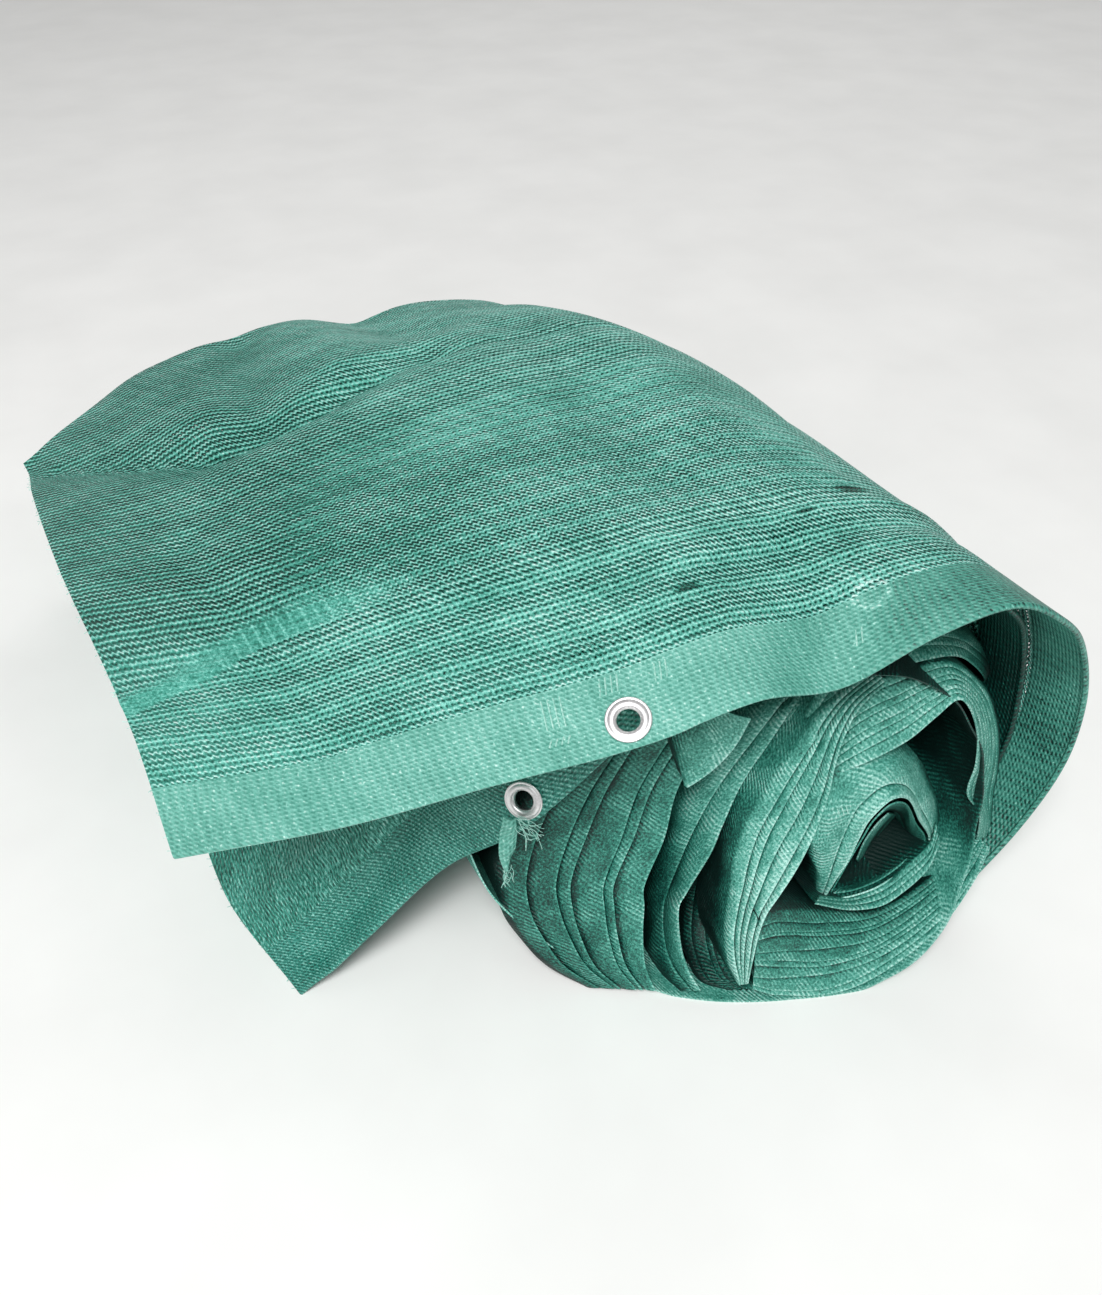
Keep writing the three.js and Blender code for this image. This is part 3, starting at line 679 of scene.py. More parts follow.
hem_finish = hem_material("close-knitted polyethylene hem",
                          ("#398878", "#5aa594", "#78bfb0", "#c8eee3"), 0.07, 0.08, 1.05)
# A darker copy of the hem's finish: painted shade for the hem beneath, under the layer above.
shaded_hem_finish = hem_material("close-knitted hem with painted shade",
                           ("#07564a", "#1d7566", "#339081", "#9bdacd"), 0.04, 0.17, 1.9)

# %% [markdown]
# ## The doubled sheet
# One grid makes the outer layer, the round of the far fold and the inner layer. It starts at the
# outer hem and ends at the inner one, so that the knit runs through without a seam. Its marks say
# where shade is painted on the cloth, and where its stitches lie closed.

# %% Outer layer, far fold and inner layer
NET_THICK = 0.9  # mm
STEPS = {"along": 150, "outer": 92, "fold": 8, "inner": 72}
FOLD_BULGE = 8


def spaced(layer, count):
    """Distances along a layer, with as many steps between each two stations."""
    last = len(layer.along) - 1
    return np.interp(np.linspace(0, last, count), np.arange(last + 1), layer.along)


over_u = spaced(outer, STEPS["along"])[:, None]
below_u = spaced(inner, STEPS["along"])[:, None]
t = np.linspace(0, 1, STEPS["outer"])[None]
over = outer.point(over_u, outer.share(over_u, HEM) * (1 - t) + t)
t = np.linspace(1, 0, STEPS["inner"])[None]
below = inner.point(below_u, inner.share(below_u, HEM) * (1 - t) + t)
middle = (over[:, -1] + below[:, 0]) / 2
half = over[:, -1] - middle
out_y = np.minimum(np.linalg.norm(half, axis=-1), FOLD_BULGE)
angle = np.pi * np.arange(1, STEPS["fold"]) / STEPS["fold"]
bend = middle[:, None] + half[:, None] * np.cos(angle)[None, :, None]
bend[..., 1] += out_y[:, None] * np.sin(angle)[None]
sheet = np.concatenate([over, bend, below], axis=1)
across = lengths(sheet, 1) + HEM
# Further in, the net is stretched: its chains stand further apart, and run flatter at the left.
spread = 1.1 * across - 0.36 * np.maximum(across - 110, 0) - 0.12 * np.maximum(across - 300, 0)
turned = 0.10 * (np.minimum(over_u, 300) - 300) * smooth(80, 260, across)
marks = np.stack([np.broadcast_to(over_u, across.shape), spread + turned], axis=-1)
# Painted shade: on the layer beneath where it runs inside the roll, at the left of the upper layer, and
# as the shadow of the upper layer over the hem beneath.
beneath = np.arange(across.shape[1]) >= over.shape[1]
hollow = beneath * smooth(400, 470, below_u) * smooth(640, 300, across[:, -1:] - across)
# At the left the layers stand well apart, so painted shade darkens the cloth there and widens its
# openings.
hollow = hollow + 0.4 * ~beneath * smooth(300, 130, over_u) * smooth(110, 200, across)
# Along the hem of the layer beneath the stitches lie closed, and further in, the shadow of the layer
# above is painted on it.
from_hem = across[:, -1:] - across
closed = beneath * smooth(330, 250, below_u) * smooth(190, 120, from_hem)
hollow = hollow + closed * 0.3 * smooth(52, 82, from_hem - 0.12 * below_u)
net = lay("net_cloth", sheet, marks, NET_THICK, hollow, closed)
net = dressed(net, net_finish, "knitted_net", "net_sheet")
print("width of the doubled sheet, mm:", across[:, -1].min().round(), "to", across[:, -1].max().round())

# %% [markdown]
# ## The hems
# Each hem is a band of the same cloth, 40 mm wide. Its free edge is turned under into a small
# round bead, which shows as a pale smooth line. The band is a grid too, with a few extra rows
# that curl under.

# %% Hems with a turned edge
BEAD = 1.3  # radius of the turned edge, mm
BORE = 8.2  # radius of the hole under an eyelet, mm
HEM_THICK = 1.0


def hem_band(layer, name, count=300):
    """The close-knitted band along a layer's edge, with its edge turned under."""
    u = spaced(layer, count)[:, None]
    wide = np.concatenate([[BEAD], np.linspace(4, HEM + 0.6, 12)])[None]
    band = layer.point(u, layer.share(u, wide))
    start = band[:, :1]
    inward = unit(band[:, 1:2] - start)
    up = unit(np.cross(np.gradient(start[:, 0], axis=0)[:, None], inward))
    turn = np.radians(np.array([250, 215, 180, 145, 110, 75, 45, 20]))[None, :, None]
    curl = start - inward * BEAD * np.sin(turn) + up * BEAD * (np.cos(turn) - 1)
    points = np.concatenate([curl, band], axis=1)
    below = lengths(points, 1)
    marks = np.stack([np.broadcast_to(u, below.shape), below - below[:, 8:9] + BEAD], axis=-1)
    # Painted shade where the hem runs inside the roll.
    shade_in_roll = smooth(400, 470, u) if layer is inner else 0.55 * smooth(300, 540, u)
    hollow = np.broadcast_to(shade_in_roll, below.shape)
    return lay(name, points, marks, HEM_THICK, hollow)


# %% Holes for the eyelets
def bored(piece, layer):
    """Cuts the round holes that the eyelets are pressed into."""
    for seat in layer.eyelets:
        bpy.ops.object.select_all(action="DESELECT")
        bpy.ops.mesh.primitive_cylinder_add(vertices=40, radius=BORE * MM, depth=12 * MM)
        punch = bpy.context.object
        punch.rotation_euler = facing_turn(seat["facing"])
        punch.location = (seat["centre"] + SHIFT) * MM
        cut = piece.modifiers.new("hole", "BOOLEAN")
        cut.operation, cut.object, cut.solver = "DIFFERENCE", punch, "EXACT"
        bpy.context.view_layer.objects.active = piece
        bpy.ops.object.modifier_apply(modifier=cut.name)
        bpy.data.objects.remove(punch)
    return piece


def facing_turn(facing):
    """Turns that bring the Z axis to a direction."""
    x, y, z = facing
    return (0, math.acos(z), math.atan2(y, x))


outer_band = bored(hem_band(outer, "outer_hem_band"), outer)
outer_hem = dressed(outer_band, hem_finish, "dense_hem", "outer_hem")
inner_band = bored(hem_band(inner, "inner_hem_band"), inner)
inner_hem = dressed(inner_band, shaded_hem_finish, "dense_hem", "inner_hem")

# %% [markdown]
# ## Eyelets
# An eyelet is two pressed rings of plated brass, one with a barrel that is rolled over the other.
# Its profile is known, so it is raised ring by ring: a circle is extruded, widened and lifted along
# the profile, and the last ring is bridged to the first. A small groove parts the thin outer rim
# from the broad crown. Nickel plating is bright and a little rubbed, so its roughness varies, in
# spots about 1 mm wide.

# %% Plated brass
metal, tree = finish("bright nickel-plated brass")
place = node(tree, "TexCoord").outputs["Object"]
rubs = node(tree, "TexNoise", {"Scale": 900.0, "Detail": 4.0, "Roughness": 0.7}, {"Vector": place})
tone = node(tree, "ValToRGB", {"stops": [(0.3, "#dcdadb"), (0.7, "#fbfafa")]}, {"Fac": rubs})
gloss = node(tree, "MapRange", {"To Min": 0.34, "To Max": 0.5}, {"Value": rubs})
relief = node(tree, "Bump", {"Strength": 0.15, "Distance": 0.0001}, {"Height": rubs})
plate = node(tree, "BsdfPrincipled", {"Metallic": 1.0},
             {"Base Color": tone, "Roughness": gloss, "Normal": relief})
node(tree, "OutputMaterial", {}, {"Surface": plate})
print(metal.name + ":", len(tree.nodes), "nodes")

# %% Raise an eyelet ring by ring
# Half profile from the hole's waist, over the crown, to the rim and back below: radius, height.
PROFILE = [
    (6.0, 0.0), (6.05, 1.0), (6.4, 1.9), (7.2, 2.5), (8.2, 2.75), (9.2, 2.65), (10.1, 2.35),
    (10.5, 2.1), (10.8, 2.12), (11.2, 2.25), (11.7, 2.15), (12.0, 1.8), (11.9, 1.5), (7.6, 1.45),
    (7.6, -1.45), (11.9, -1.5), (12.0, -1.9), (11.4, -2.2), (9.4, -2.3), (7.6, -2.1), (6.5, -1.5),
]


def eyelet(name, seat):
    """A two-piece eyelet on its seat."""
    bpy.ops.object.select_all(action="DESELECT")
    bpy.ops.mesh.primitive_circle_add(vertices=48, radius=PROFILE[0][0] * MM)
    ring = bpy.context.object
    ring.name = ring.data.name = name
    bpy.ops.object.mode_set(mode="EDIT")
    bpy.ops.mesh.select_all(action="SELECT")
    for (r0, h0), (r1, h1) in zip(PROFILE, PROFILE[1:]):
        bpy.ops.mesh.extrude_edges_move(TRANSFORM_OT_translate={"value": (0, 0, (h1 - h0) * MM)})
        bpy.ops.transform.resize(value=(r1 / r0, r1 / r0, 1), center_override=(0, 0, h1 * MM))
    bpy.ops.object.mode_set(mode="OBJECT")
    for edge in ring.data.edges:
        ends = [ring.data.vertices[k].co.z / MM for k in edge.vertices]
        reach = [ring.data.vertices[k].co.xy.length / MM for k in edge.vertices]
        first = max(abs(z) for z in ends) < 1e-3
        last = max(abs(z - PROFILE[-1][1]) for z in ends) < 1e-3 and max(reach) < PROFILE[-1][0] + 0.01
        edge.select = first or last
    bpy.ops.object.mode_set(mode="EDIT")
    bpy.ops.mesh.select_mode(type="EDGE")
    bpy.ops.mesh.bridge_edge_loops()
    bpy.ops.mesh.select_all(action="SELECT")
    bpy.ops.mesh.normals_make_consistent(inside=False)
    bpy.ops.object.mode_set(mode="OBJECT")
    ring.rotation_euler = facing_turn(seat["facing"])
    ring.location = (seat["centre"] + SHIFT) * MM
    bpy.ops.object.transform_apply(location=True, rotation=True, scale=True)
    bpy.ops.object.shade_smooth_by_angle(angle=math.radians(50))
    return ring


eyelets = [dressed(eyelet(name + "_ring", seat), metal, "eyelet_metal", name)
           for name, seat in seats.items()]

# %% [markdown]
# ## Finish of the wound net
# In the roll the same net lies in many layers, so no light passes through it. Fine ribs cross it
# where it is stretched and vanish in the fuzz where it is slack. A pale line is painted along the
# free edges of the layers, a painted highlight where they catch the light. Deep between the turns
# there is hardly any light, so shade is painted there: the tone falls with the painted shade
# attribute that every layer carries, and where that is below zero it paints light.

# %% Wound net
wound_finish, tree = finish("wound polyethylene net")
flat_marks, marks = knit_marks(tree, 5.0)
fibres = node(tree, "TexNoise", {"Scale": GRAIN, "Detail": 4.0, "Roughness": 0.8},
              {"Vector": flat_marks})
patches = node(tree, "TexNoise", {"Scale": 1 / 20, "Detail": 4.0}, {"Vector": flat_marks})
tight = node(tree, "MapRange", {"From Min": 0.42, "From Max": 0.6, "To Min": 0.15},
             {"Value": patches})
ribs = product(tree, wave(tree, marks, 1 / RIB, 0.2), tight)
from_edge = node(tree, "SeparateXYZ", {}, {"Vector": flat_marks}).outputs["Y"]
# Painted highlight: a pale line along each layer's free edge.
edge = node(tree, "MapRange", {"From Min": 0.4, "From Max": 2.0, "To Min": 0.16, "To Max": 0.0},
            {"Value": from_edge})
hollow = node(tree, "Attribute", {"attribute_name": "hollow"}).outputs["Fac"]
# The painted shade attribute darkens the tone, and below zero lightens it.
shade = blended(tree, [(ribs, 0.13), (fibres, 1.7), (patches, 0.7), (edge, 1.0), (hollow, -0.62)],
                -0.66)
colour = node(tree, "ValToRGB", {"stops": [
    (0.0, "#04211d"), (0.2, "#0b4a40"), (0.4, "#2a7c6c"), (0.6, "#55a897"), (0.95, "#bdeee3")]},
    {"Fac": shade})
height = blended(tree, [(ribs, 0.5), (fibres, 0.9)])
relief = node(tree, "Bump", {"Strength": 0.9, "Distance": 0.0006}, {"Height": height})
plastic = node(tree, "BsdfPrincipled", {"Roughness": 0.48, "IOR": 1.5, "Specular IOR Level": 0.4},
               {"Base Color": colour, "Normal": relief})
node(tree, "OutputMaterial", {}, {"Surface": plastic})
print(wound_finish.name + ":", len(tree.nodes), "nodes")

# %% [markdown]
# ## The roll's outer turn
# The roll is a flattened oval that tapers to the back, with a small flat place below, where its
# own weight presses it on the ground. Its front rim leans: the lowest turns stand forward, and
# those at the left lie far back. One grid goes round it, from the front rim along the side and
# in to the middle of the back end, where the turns show as low steps.

# %% Outer turn and back end
ROLL = [
    {"at": "front", "y": 20, "left": -158, "right": 143, "top": 216, "shoulder": 1.2},
    {"at": "near", "y": 145, "left": -168, "right": 140, "top": 262, "shoulder": 1.3},
    {"at": "mid", "y": 375, "left": -172, "right": 127, "top": 256, "shoulder": 1.8},
    {"at": "taper", "y": 540, "left": -156, "right": 102, "top": 206, "shoulder": 2.0},
    {"at": "back", "y": 612, "left": -136, "right": 88, "top": 166, "shoulder": 2.0},
]
AXIS = {"x": 8, "z": 100}
FRONT_RIM = {-180: 128, -150: 100, -128: 62, -105: 20, -80: -2, -52: -8, -25: 10, 0: 30,
             45: 44, 90: 58, 120: 92, 150: 122, 180: 128}
BACK_END = 612
SIDE_STEPS, BACK_STEPS = 70, 90
TURNS = 13  # low steps on the back end
WRAP_THICK = 1.0


def roll_side(y, angle):
    """A point on the roll's side."""
    knots = [row["y"] for row in ROLL]
    rows = [[row[c] for c in ("left", "right", "top", "shoulder")] for row in ROLL]
    section = curve(knots, rows, np.clip(y, knots[0], knots[-1]))
    left, right, top, shoulder = np.moveaxis(section, -1, 0)
    c, s = np.cos(angle), np.sin(angle)
    wide = np.where(c >= 0, right - AXIS["x"], AXIS["x"] - left)
    tall = np.where(s >= 0, top - AXIS["z"], AXIS["z"] + 6)
    full = np.where((c < 0) & (s > 0), shoulder, np.where((c > 0) & (s < 0), 1.9, 2.3))
    reach = (np.abs(c) ** full + np.abs(s) ** full) ** (-1 / full)
    z = np.maximum(AXIS["z"] + tall * reach * s, 0.6)
    return np.stack([AXIS["x"] + wide * reach * c, y + 0 * c, z], axis=-1)


def front_rim(angle):
    """How far back the front rim lies at an angle round the roll."""
    degrees = np.degrees(np.arctan2(np.sin(angle), np.cos(angle)))
    return curve(list(FRONT_RIM), list(FRONT_RIM.values()), degrees)


angle = np.linspace(-np.pi, np.pi, 181)[:, None]
rim = front_rim(angle)
t = np.linspace(0, 1, SIDE_STEPS)[None]
y = rim * (1 - t) + BACK_END * t
side = roll_side(y, angle + 0 * t)
ripple = (1.2 * np.sin(5 * angle + y / 60) + 0.9 * np.sin(9 * angle - y / 37 + 1.3)
          + 0.6 * np.sin(17 * angle + y / 23)) - 1.2
outward = unit(side - np.array([AXIS["x"], 0, AXIS["z"]]) - np.array([0, 1, 0]) * side)
side = side + outward * (ripple * smooth(0.5, 8, side[..., 2]))[..., None]
# The back end: each turn steps in by a few millimetres, on a spiral.
share = np.linspace(0.985, 0.02, BACK_STEPS)[None]
turns = share * TURNS + angle / (2 * np.pi)
step = 7 * (turns % 1) ** 2 + 3 * np.sin(2.2 * angle + 9 * share)
middle = np.array([AXIS["x"], BACK_END + 4, 88])
back = middle + (side[:, -1:] - middle) * share[..., None]
back[..., 1] = BACK_END - 6 * (1 - share) - step * smooth(1, 0.9, share) * smooth(0, 0.2, share)
wrap = np.concatenate([side, back], axis=1)
marks = np.stack([lengths(wrap, 0), lengths(wrap, 1)], axis=-1)
marks[..., 0] = marks[:, :1, 0]
# The last turn covers its right side and top, so no light comes there: shade is painted on them.
degrees = np.degrees(angle)
on_side = np.arange(wrap.shape[1]) < SIDE_STEPS
hollow = smooth(-28, 6, degrees) * smooth(165, 145, degrees) * on_side
dressed(lay("roll_wrap", wrap, marks, WRAP_THICK, hollow), wound_finish, "wound_net", "rolled_net")

# %% [markdown]
# ## The layers at the open end
# Seen from the end, the roll is a sheaf of thin edges: bundles of layers that lie close, with dark
# hollows between, where real shadow and painted shade both fall. They could be one relief, but real
# edges cast real shadows, so every layer is a sheet. Each bundle is made as shingles are laid. Two
# guides are measured, the edge nearest the eye and the edge furthest back, and the layers between
# them each reach back under the next. Small seeded waves keep them from lying too evenly, and no
# layer passes through the last turn.

# %% Free edges of a bundle, kept inside the last turn
EYE = np.array([-300.0, -345.0, 660.0])  # the side that the layers turn their faces to
RIGHT_SIDES = [
    layer.point(np.linspace(layer.along[9], layer.along[-1], 80)[:, None],
                np.linspace(0, 0.25, 25)[None]).reshape(-1, 3) for layer in (outer, inner)]


def kept_inside(points):
    """The points, with those that would pass through the last turn at the right moved inside it."""
    points = points.copy()
    for side in RIGHT_SIDES:
        there = points[..., 0] > 100
        near = points[there]
        gaps = ((near[:, None, 1:] - side[None, :, 1:]) ** 2).sum(-1)
        limit = np.where(gaps.min(1) < 8 ** 2, side[gaps.argmin(1), 0] - 3, 1e9)
        near[:, 0] = np.minimum(near[:, 0], limit)
        points[there] = near
    return points


def free_edges(front, back, u, shares, sway, dice):
    """The layers' free edges: lines between the two guides, each with a slow sway of its own."""
    lines = []
    for _ in shares:
        lines.append(sum(dice.uniform(-1, 1) * np.sin(u / dice.uniform(14, 60) + dice.uniform(0, 6))
                         for _ in range(4)))
    gaps = np.diff(shares)
    room = np.minimum(np.append(gaps, 1), np.insert(gaps, 0, 1))
    return [front + (back - front) * (share + sway * gap * line[:, None] / 2.5)
            for share, gap, line in zip(shares, room, lines)]


# %% One bundle of layers
ACROSS = np.array([0, 0.05, 0.12, 0.22, 0.34, 0.44, 0.52, 0.6, 0.7, 0.85, 1.0])


def layers(name, guides, count, crowd=1.0, shade=(0.0, 0.5), reach=1.6, tuck=5.0, tail=34,
           bulge=0.12, sway=0.3, crumple=0.5, seed=1, steps=120, darkens=(-1, 0)):
    """Layers of net between a front and a back guide, given as (front, back) points in mm.

    With crowd over 1 the edges gather at the front guide. The two shades are the painted shade at the
    front and at the back guide, below zero painted light, once past the two shares of the guide's
    length that darkens gives. Painted shade is also laid under the next layer's edge and on the rows
    tucked into the roll."""
    dice = np.random.default_rng(seed)
    front, back = (np.array([row[k] for row in guides], float) for k in (0, 1))
    knots = lengths((front + back) / 2, 0)
    u = np.linspace(0, knots[-1], steps)
    front, back = curve(knots, front, u), curve(knots, back, u)
    shares = np.linspace(0, 1, count + 1)
    shares[1:-1] += dice.uniform(-0.3, 0.3, count - 1) / count
    shares = shares ** crowd
    edges = free_edges(front, back, u, shares, sway, dice)
    # Painted shade: it comes in along the guide, darkens each layer where it runs under the next one,
    # and darkens the two rows tucked into the roll.
    falls = smooth(*darkens, u / u[-1])[:, None]
    lip = np.append(smooth(0.72, 1.0, ACROSS * reach), [0.9, 1.0])
    deep_tail = np.append(np.zeros(len(ACROSS)), [0.65, 1.0])
    w = ACROSS[None, :, None]
    made = []
    for k in range(count):
        edge, step = edges[k], edges[k + 1] - edges[k]
        run, facing = unit(np.gradient(edge, axis=0)), unit(EYE - edge)
        facing = unit(facing - run * (run * facing).sum(-1, keepdims=True))
        size = np.linalg.norm(step, axis=-1)[:, None, None]
        waves = sum(np.sin(u[:, None, None] / dice.uniform(3, 9) + w * dice.uniform(-5, 5)
                           + dice.uniform(0, 6)) for _ in range(4))
        lift = bulge * size * np.sin(np.pi * w) - tuck * w ** 2
        lift = lift + crumple * waves * np.minimum(size / 14, 1) * w
        points = edge[:, None] + step[:, None] * reach * w + facing[:, None] * lift
        # Two more rows carry the sheet back into the roll.
        tucked = np.array([[0, tail * 0.4, 0], [0, tail, 0]])[None] - facing[:, None] * 1.5
        points = np.concatenate([points, points[:, -1:] + tucked], axis=1)
        points[..., 2] = np.maximum(points[..., 2], 0.8)
        points = kept_inside(points)
        marks = np.stack([lengths(points, 0), lengths(points, 1)], axis=-1)
        marks[..., 0] = marks[:, :1, 0] + 37 * k
        place = shares[k] + (shares[k + 1] - shares[k]) * np.append(ACROSS, [1, 1])
        hollow = (shade[0] + (shade[1] - shade[0]) * np.clip(place, 0, 1) + deep_tail) * falls
        hollow = hollow + lip * (0.15 + 0.35 * falls)
        made.append(lay(f"{name}_{k}", points, marks, NET_THICK, hollow))
    bpy.ops.object.select_all(action="DESELECT")
    for part in made:
        part.select_set(True)
    bpy.context.view_layer.objects.active = made[0]
    bpy.ops.object.join()
    made[0].name = made[0].data.name = name
    return dressed(made[0], wound_finish, "wound_net", "rolled_net")


# %% [markdown]
# The guides run from top to bottom, or from left to right. The first point of each pair is on the
# edge nearest the eye.

# %% Core, arch over it, and the outer loops
# Each bundle's shade and darkens give its painted shade, and below zero painted light.
layers("core_coil", [
    ((38, 32, 57), (33, 38, 57)), ((42, 31, 72), (27, 37, 84)), ((47, 30, 88), (19, 38, 111)),
    ((52, 30, 110), (23, 42, 138)), ((56, 29, 125), (34, 48, 154)), ((68, 29, 136), (56, 50, 164)),
    ((83, 31, 128), (83, 50, 155)), ((98, 33, 102), (109, 48, 122)), ((114, 35, 72), (128, 46, 74)),
    ((97, 28, 68), (115, 40, 60)), ((74, 24, 61), (83, 36, 47)), ((54, 25, 58), (52, 36, 45)),
    ((40, 30, 55), (35, 38, 52)),
], 3, crowd=2.6, shade=(-0.18, 0.05), reach=1.05, tuck=3, seed=3)
layers("core_hollow", [
    ((43, 34, 55), (69, 54, 45)), ((50, 33, 82), (77, 58, 60)), ((56, 32, 104), (87, 62, 70)),
    ((60, 31, 119), (94, 64, 76)), ((70, 31, 129), (102, 64, 75)), ((84, 33, 122), (109, 62, 67)),
    ((99, 35, 96), (113, 60, 56)), ((112, 36, 73), (115, 60, 40)), ((95, 30, 69), (106, 58, 37)),
    ((75, 27, 62), (94, 58, 36)), ((55, 27, 60), (83, 58, 35)), ((44, 33, 55), (73, 56, 39)),
], 2, shade=(0.3, 0.8), reach=1.2, tuck=2, crumple=0.8, seed=4)
layers("core_crumple", [
    ((69, 46, 63), (87, 60, 37)), ((72, 46, 79), (93, 60, 54)),
    ((78, 46, 92), (100, 60, 67)), ((85, 46, 100), (107, 60, 76)),
], 2, shade=(0.0, 0.4), tuck=1, crumple=1.6, seed=14, steps=60)
layers("core_loops", [
    ((20, 20, 72), (32, 30, 62)), ((45, 16, 58), (54, 26, 56)), ((67, 14, 53), (74, 24, 61)),
    ((86, 16, 57), (92, 26, 70)), ((104, 20, 66), (112, 32, 76)), ((114, 26, 78), (120, 40, 83)),
], 3, shade=(0.0, 0.15), reach=1.3, seed=13)
layers("core_arch", [
    ((30, 52, 140), (23, 64, 160)), ((42, 44, 156), (37, 64, 181)), ((51, 40, 163), (49, 64, 196)),
    ((65, 39, 168), (60, 62, 205)), ((81, 41, 171), (73, 60, 209)), ((97, 42, 182), (91, 58, 211)),
    ((109, 42, 191), (112, 56, 208)), ((119, 40, 183), (141, 54, 179)),
    ((131, 39, 157), (158, 52, 147)), ((135, 37, 132), (167, 50, 116)),
    ((135, 36, 107), (171, 48, 81)), ((149, 34, 84), (174, 46, 60)), ((154, 34, 58), (177, 44, 41)),
], 7, shade=(-0.05, 0.15), reach=1.3, tuck=3, seed=5)
layers("outer_loops", [
    ((18, 50, 178), (20, 64, 185)), ((37, 56, 196), (33, 68, 210)), ((56, 60, 207), (52, 72, 223)),
    ((79, 60, 213), (80, 74, 228)), ((105, 60, 210), (114, 78, 219)),
    ((129, 62, 199), (153, 86, 191)), ((151, 64, 173), (184, 94, 152)),
    ((146, 76, 160), (156, 96, 160)), ((150, 84, 110), (160, 104, 110)),
    ((150, 84, 60), (160, 104, 56)),
], 3, shade=(0.8, 0.95), darkens=(0.45, 0.6), seed=6)

# %% The left fold, the layers beside it and the lower turns
# Shade and darkens give painted shade; the left fold's shade is below zero, so it is painted light.
layers("left_fold", [
    ((62, 50, 212), (59, 60, 220)), ((42, 44, 206), (38, 60, 207)), ((33, 41, 189), (24, 58, 197)),
    ((30, 40, 167), (13, 56, 179)), ((29, 39, 150), (3, 56, 162)), ((23, 36, 126), (-8, 56, 140)),
    ((17, 33, 113), (-17, 55, 120)), ((8, 30, 96), (-22, 52, 100)), ((-2, 27, 82), (-24, 48, 79)),
    ((-11, 24, 71), (-26, 44, 60)), ((-16, 21, 56), (-29, 38, 43)), ((-19, 18, 39), (-29, 30, 26)),
    ((-23, 14, 21), (-26, 20, 13)),
], 5, crowd=1.3, shade=(-0.25, -0.1), darkens=(0.4, 0.65), reach=1.15, seed=7)
layers("shaded_layers", [
    ((50, 76, 204), (44, 88, 202)), ((26, 70, 191), (23, 84, 192)), ((11, 72, 161), (3, 88, 152)),
    ((-2, 74, 128), (-13, 90, 117)), ((-6, 74, 97), (-22, 90, 74)), ((-6, 72, 67), (-27, 88, 39)),
    ((-6, 66, 34), (-31, 84, 12)), ((-10, 52, 11), (-39, 67, 3)), ((-14, 33, 3), (-42, 38, 3)),
    ((-15, 20, 4), (-29, 25, 3)),
], 5, shade=(0.3, 0.9), darkens=(0.36, 0.62), seed=8)
layers("middle_layers", [
    ((38, 80, 200), (17, 98, 192)), ((16, 74, 183), (0, 92, 176)), ((-6, 72, 140), (-29, 96, 124)),
    ((-23, 68, 109), (-42, 100, 76)), ((-31, 64, 90), (-50, 102, 49)),
    ((-46, 58, 69), (-54, 100, 25)), ((-53, 54, 63), (-56, 94, 9)), ((-55, 46, 38), (-63, 73, 3)),
    ((-53, 38, 21), (-63, 53, 3)), ((-49, 26, 12), (-58, 36, 3)),
], 2, crowd=1.9, shade=(0.0, 0.9), darkens=(0.4, 0.7), reach=1.15, seed=9)
layers("lit_corner", [
    ((-21, 60, 208), (-38, 74, 214)), ((-29, 62, 189), (-47, 76, 203)),
    ((-39, 64, 174), (-53, 78, 188)), ((-46, 66, 163), (-52, 78, 170)),
    ((-49, 67, 156), (-49, 72, 154)),
], 1, shade=(-0.1, 0.2), reach=1.0, tail=10, tuck=2, seed=15, steps=40)
layers("left_layers", [
    ((6, 94, 196), (-72, 126, 190)), ((-18, 88, 178), (-88, 124, 178)),
    ((-36, 88, 147), (-112, 124, 142)), ((-46, 86, 128), (-124, 124, 123)),
    ((-55, 82, 98), (-140, 122, 93)), ((-71, 74, 70), (-149, 112, 68)),
    ((-73, 68, 56), (-149, 102, 47)), ((-76, 60, 40), (-142, 90, 30)),
    ((-77, 50, 21), (-131, 76, 15)), ((-73, 40, 6), (-111, 60, 3)),
], 6, crowd=1.1, shade=(0.2, 0.5), reach=1.1, tuck=3, bulge=0.05, seed=10)
layers("lower_turns", [
    ((-18, 15, 10), (-15, 26, 68)), ((-4, 9, 4), (0, 28, 68)), ((34, -3, 3), (34, 30, 48)),
    ((70, -5, 14), (72, 26, 34)), ((111, 1, 33), (113, 28, 43)), ((138, 12, 50), (136, 34, 56)),
    ((161, 28, 53), (155, 42, 59)),
], 9, shade=(0.0, 0.4), tuck=4, sway=0.5, seed=11)

# %% [markdown]
# ## Loose yarn
# The knit leaves loose ends: pale stitches in small groups where the cloth was tied off, curled
# threads at a tear below the second eyelet, and a fringe of short ends along the cut edge. Each is
# a thin round yarn, drawn as a curve with a bevel and then made a mesh. Drawn yarn is smoother and
# paler than the tape, with fine streaks along it.

# %% Pale drawn yarn
yarn_finish, tree = finish("pale drawn polyethylene yarn")
place = node(tree, "TexCoord").outputs["Object"]
strands = node(tree, "TexNoise", {"Scale": 700.0, "Detail": 3.0}, {"Vector": place})
colour = node(tree, "ValToRGB", {"stops": [(0.3, "#6fb9a9"), (0.7, "#c4ebe1")]}, {"Fac": strands})
relief = node(tree, "Bump", {"Strength": 0.5, "Distance": 0.0002}, {"Height": strands})
plastic = node(tree, "BsdfPrincipled", {"Roughness": 0.4, "IOR": 1.5},
               {"Base Color": colour, "Normal": relief})
node(tree, "OutputMaterial", {}, {"Surface": plastic})
print(yarn_finish.name + ":", len(tree.nodes), "nodes")

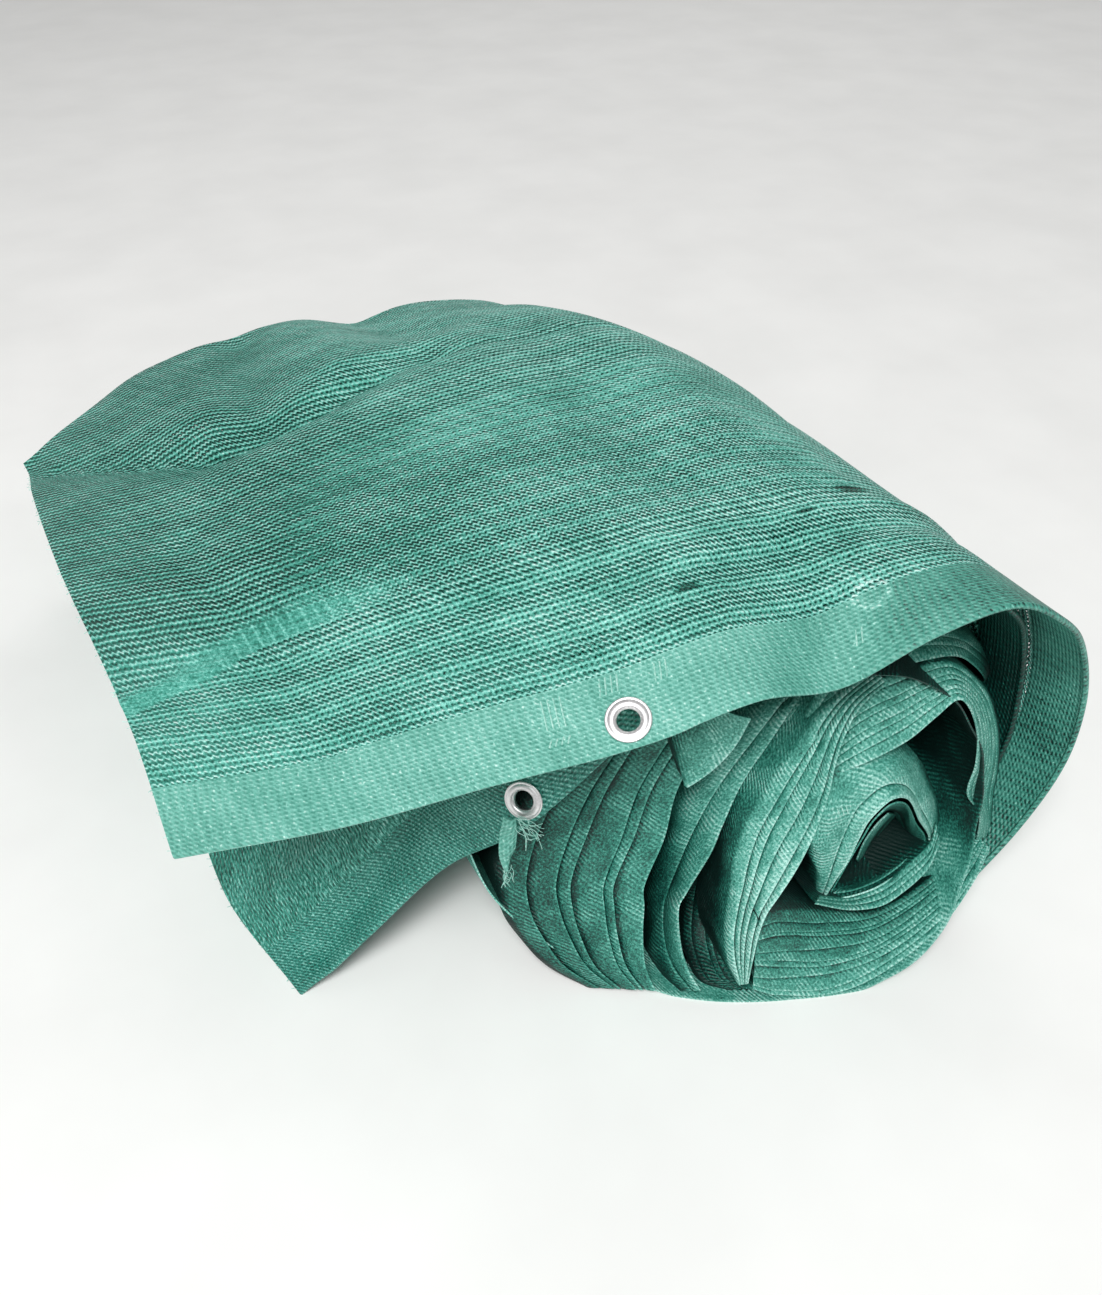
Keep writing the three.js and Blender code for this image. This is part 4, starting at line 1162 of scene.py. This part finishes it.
# %% Yarns along paths
def yarns(name, paths, radius, slot):
    """Round yarns along lists of points in mm."""
    line = bpy.data.curves.new(name, "CURVE")
    line.dimensions, line.bevel_depth, line.bevel_resolution = "3D", radius * MM, 0
    line.use_fill_caps = True
    for path in paths:
        spline = line.splines.new("POLY")
        spline.points.add(len(path) - 1)
        for point, place in zip(spline.points, path):
            point.co = (*((np.array(place) + SHIFT) * MM), 1)
    drawn = bpy.data.objects.new(name, line)
    bpy.context.scene.collection.objects.link(drawn)
    bpy.ops.object.select_all(action="DESELECT")
    drawn.select_set(True)
    bpy.context.view_layer.objects.active = drawn
    bpy.ops.object.convert(target="MESH")
    piece = bpy.context.object
    piece.name = piece.data.name = name
    bpy.ops.object.shade_smooth_by_angle(angle=math.radians(80))
    return dressed(piece, yarn_finish, slot)


def on_layer(layer, u, inset, lift):
    """A point on a layer, lifted off it a little."""
    v = layer.share(u, inset)
    return layer.point(u, v) + lift * layer.normal(u, v)


# %% Pale stitches on the hem and on the core
STITCHES = [  # distance along, insets of both ends, how many
    (219, 36, 20, 4), (216, 15, 11, 4), (253, 39, 30, 4), (285, 37, 28, 3), (410, 24, 16, 2),
]
CORE_STITCHES = [  # top of the first, bottom of the first, step to the next, how many
    ((35, 35, 135), (43, 34, 108), (2.8, 0, 0.1), 4),
    ((61, 40, 144), (63, 39, 137), (2.8, 0, -0.2), 3),
]
STITCH_RADIUS = 0.45
t = np.linspace(0, 1, 7)
paths = []
for first, top, bottom, count in STITCHES:
    for k in range(count):
        paths.append([on_layer(outer, first + BAR * k - 3 * s, top + (bottom - top) * s,
                               0.45 + 0.5 * math.sin(math.pi * s)) for s in t])
hem_stitches = yarns("pale_stitches", paths, STITCH_RADIUS, "dense_hem")
core = bpy.data.objects["core_coil"]
paths = []
for top, bottom, step, count in CORE_STITCHES:
    for k in range(count):
        path = []
        for s in t:
            guess = np.array(top) + (np.array(bottom) - top) * s + k * np.array(step)
            _, at, facing, _ = core.closest_point_on_mesh((guess + SHIFT) * MM)
            path.append(np.array(at) / MM - SHIFT + 0.4 * np.array(facing))
        paths.append(path)
yarns("core_stitches", paths, STITCH_RADIUS, "wound_net")

# %% A torn tab below the second eyelet, with its threads
LEFT_EDGE = [(-150, 100, 139), (-152, 100, 127), (-154, 99, 113), (-153, 98, 102), (-151, 98, 94)]
RIGHT_EDGE = [(-144, 97, 138), (-143, 97, 124), (-145, 97, 112), (-148, 97, 103), (-150, 97, 96)]
THREAD_RADIUS = 0.22
CURLED, HANGING = 16, 9  # threads from the tab's side, and from its tip
t = np.linspace(0, 4, 16)
left, right = curve(range(5), LEFT_EDGE, t), curve(range(5), RIGHT_EDGE, t)
share = np.linspace(0, 1, 6)[None, :, None]
tab = left[:, None] * (1 - share) + right[:, None] * share
tab[..., 1] -= 2.2 * np.sin(np.pi * share[..., 0]) + 0.6 * np.sin(t * 4)[:, None]
marks = np.stack([lengths(tab, 0), lengths(tab, 1) + 4], axis=-1)
torn_tab = dressed(lay("torn_tab", tab, marks, NET_THICK), hem_finish, "dense_hem")
dice = np.random.default_rng(21)
paths = []
for _ in range(CURLED):
    t = np.linspace(0, 1, 12)[:, None]
    start = np.array([-143, 97, 134]) + dice.uniform(-1, 1, 3) * (4, 1, 8)
    run = np.array([dice.uniform(4, 16), dice.uniform(-4, 1), dice.uniform(-26, -6)])
    curl = dice.uniform(1, 3.5) * np.sin(dice.uniform(3, 8) * t + dice.uniform(0, 6))
    paths.append(start + run * t + curl * np.array([0.8, 0.3, 0.5]) * t)
for k in range(HANGING):
    t = np.linspace(0, 1, 8)[:, None]
    start = np.array([-150, 97.5, 96]) + dice.uniform(-1, 1, 3) * (2.5, 1, 3)
    run = np.array([dice.uniform(-3, 3), dice.uniform(-3, 0), dice.uniform(-16, -7)])
    paths.append(start + run * t + dice.uniform(0.5, 1.6) * np.sin(6 * t + k) * np.array([1, 0.3, 0]))
torn_threads = yarns("torn_threads", paths, THREAD_RADIUS, "dense_hem")

# %% A fringe of short ends along the cut edge
ENDS = 110  # on each layer
END_RADIUS = 0.2
paths = []
for layer in (outer, inner):
    for w in np.sort(dice.uniform(0, 1, ENDS)):
        root = layer.point(1.0, w)
        away = unit(root - layer.point(8.0, w))
        aside = dice.uniform(-0.8, 0.8) * layer.normal(1.0, w)
        aside = aside + dice.uniform(-0.9, 0.9) * np.array([0, 1, 0])
        reach = dice.uniform(1.2, 4.0)
        t = np.linspace(0, 1, 4)[:, None]
        path = root + reach * (away * t + aside * t ** 2 * 0.7)
        path[:, 2] = np.maximum(path[:, 2], 0.5)
        paths.append(path)
fringe = yarns("cut_edge_fringe", paths, END_RADIUS, "knitted_net")
print("yarn ends on the cut edge:", len(paths))

# %% [markdown]
# ## Measure
# The box round all that the visual model shows is measured. The visual model has to keep to the
# solid model's size.

# %% Measure
low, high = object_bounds()
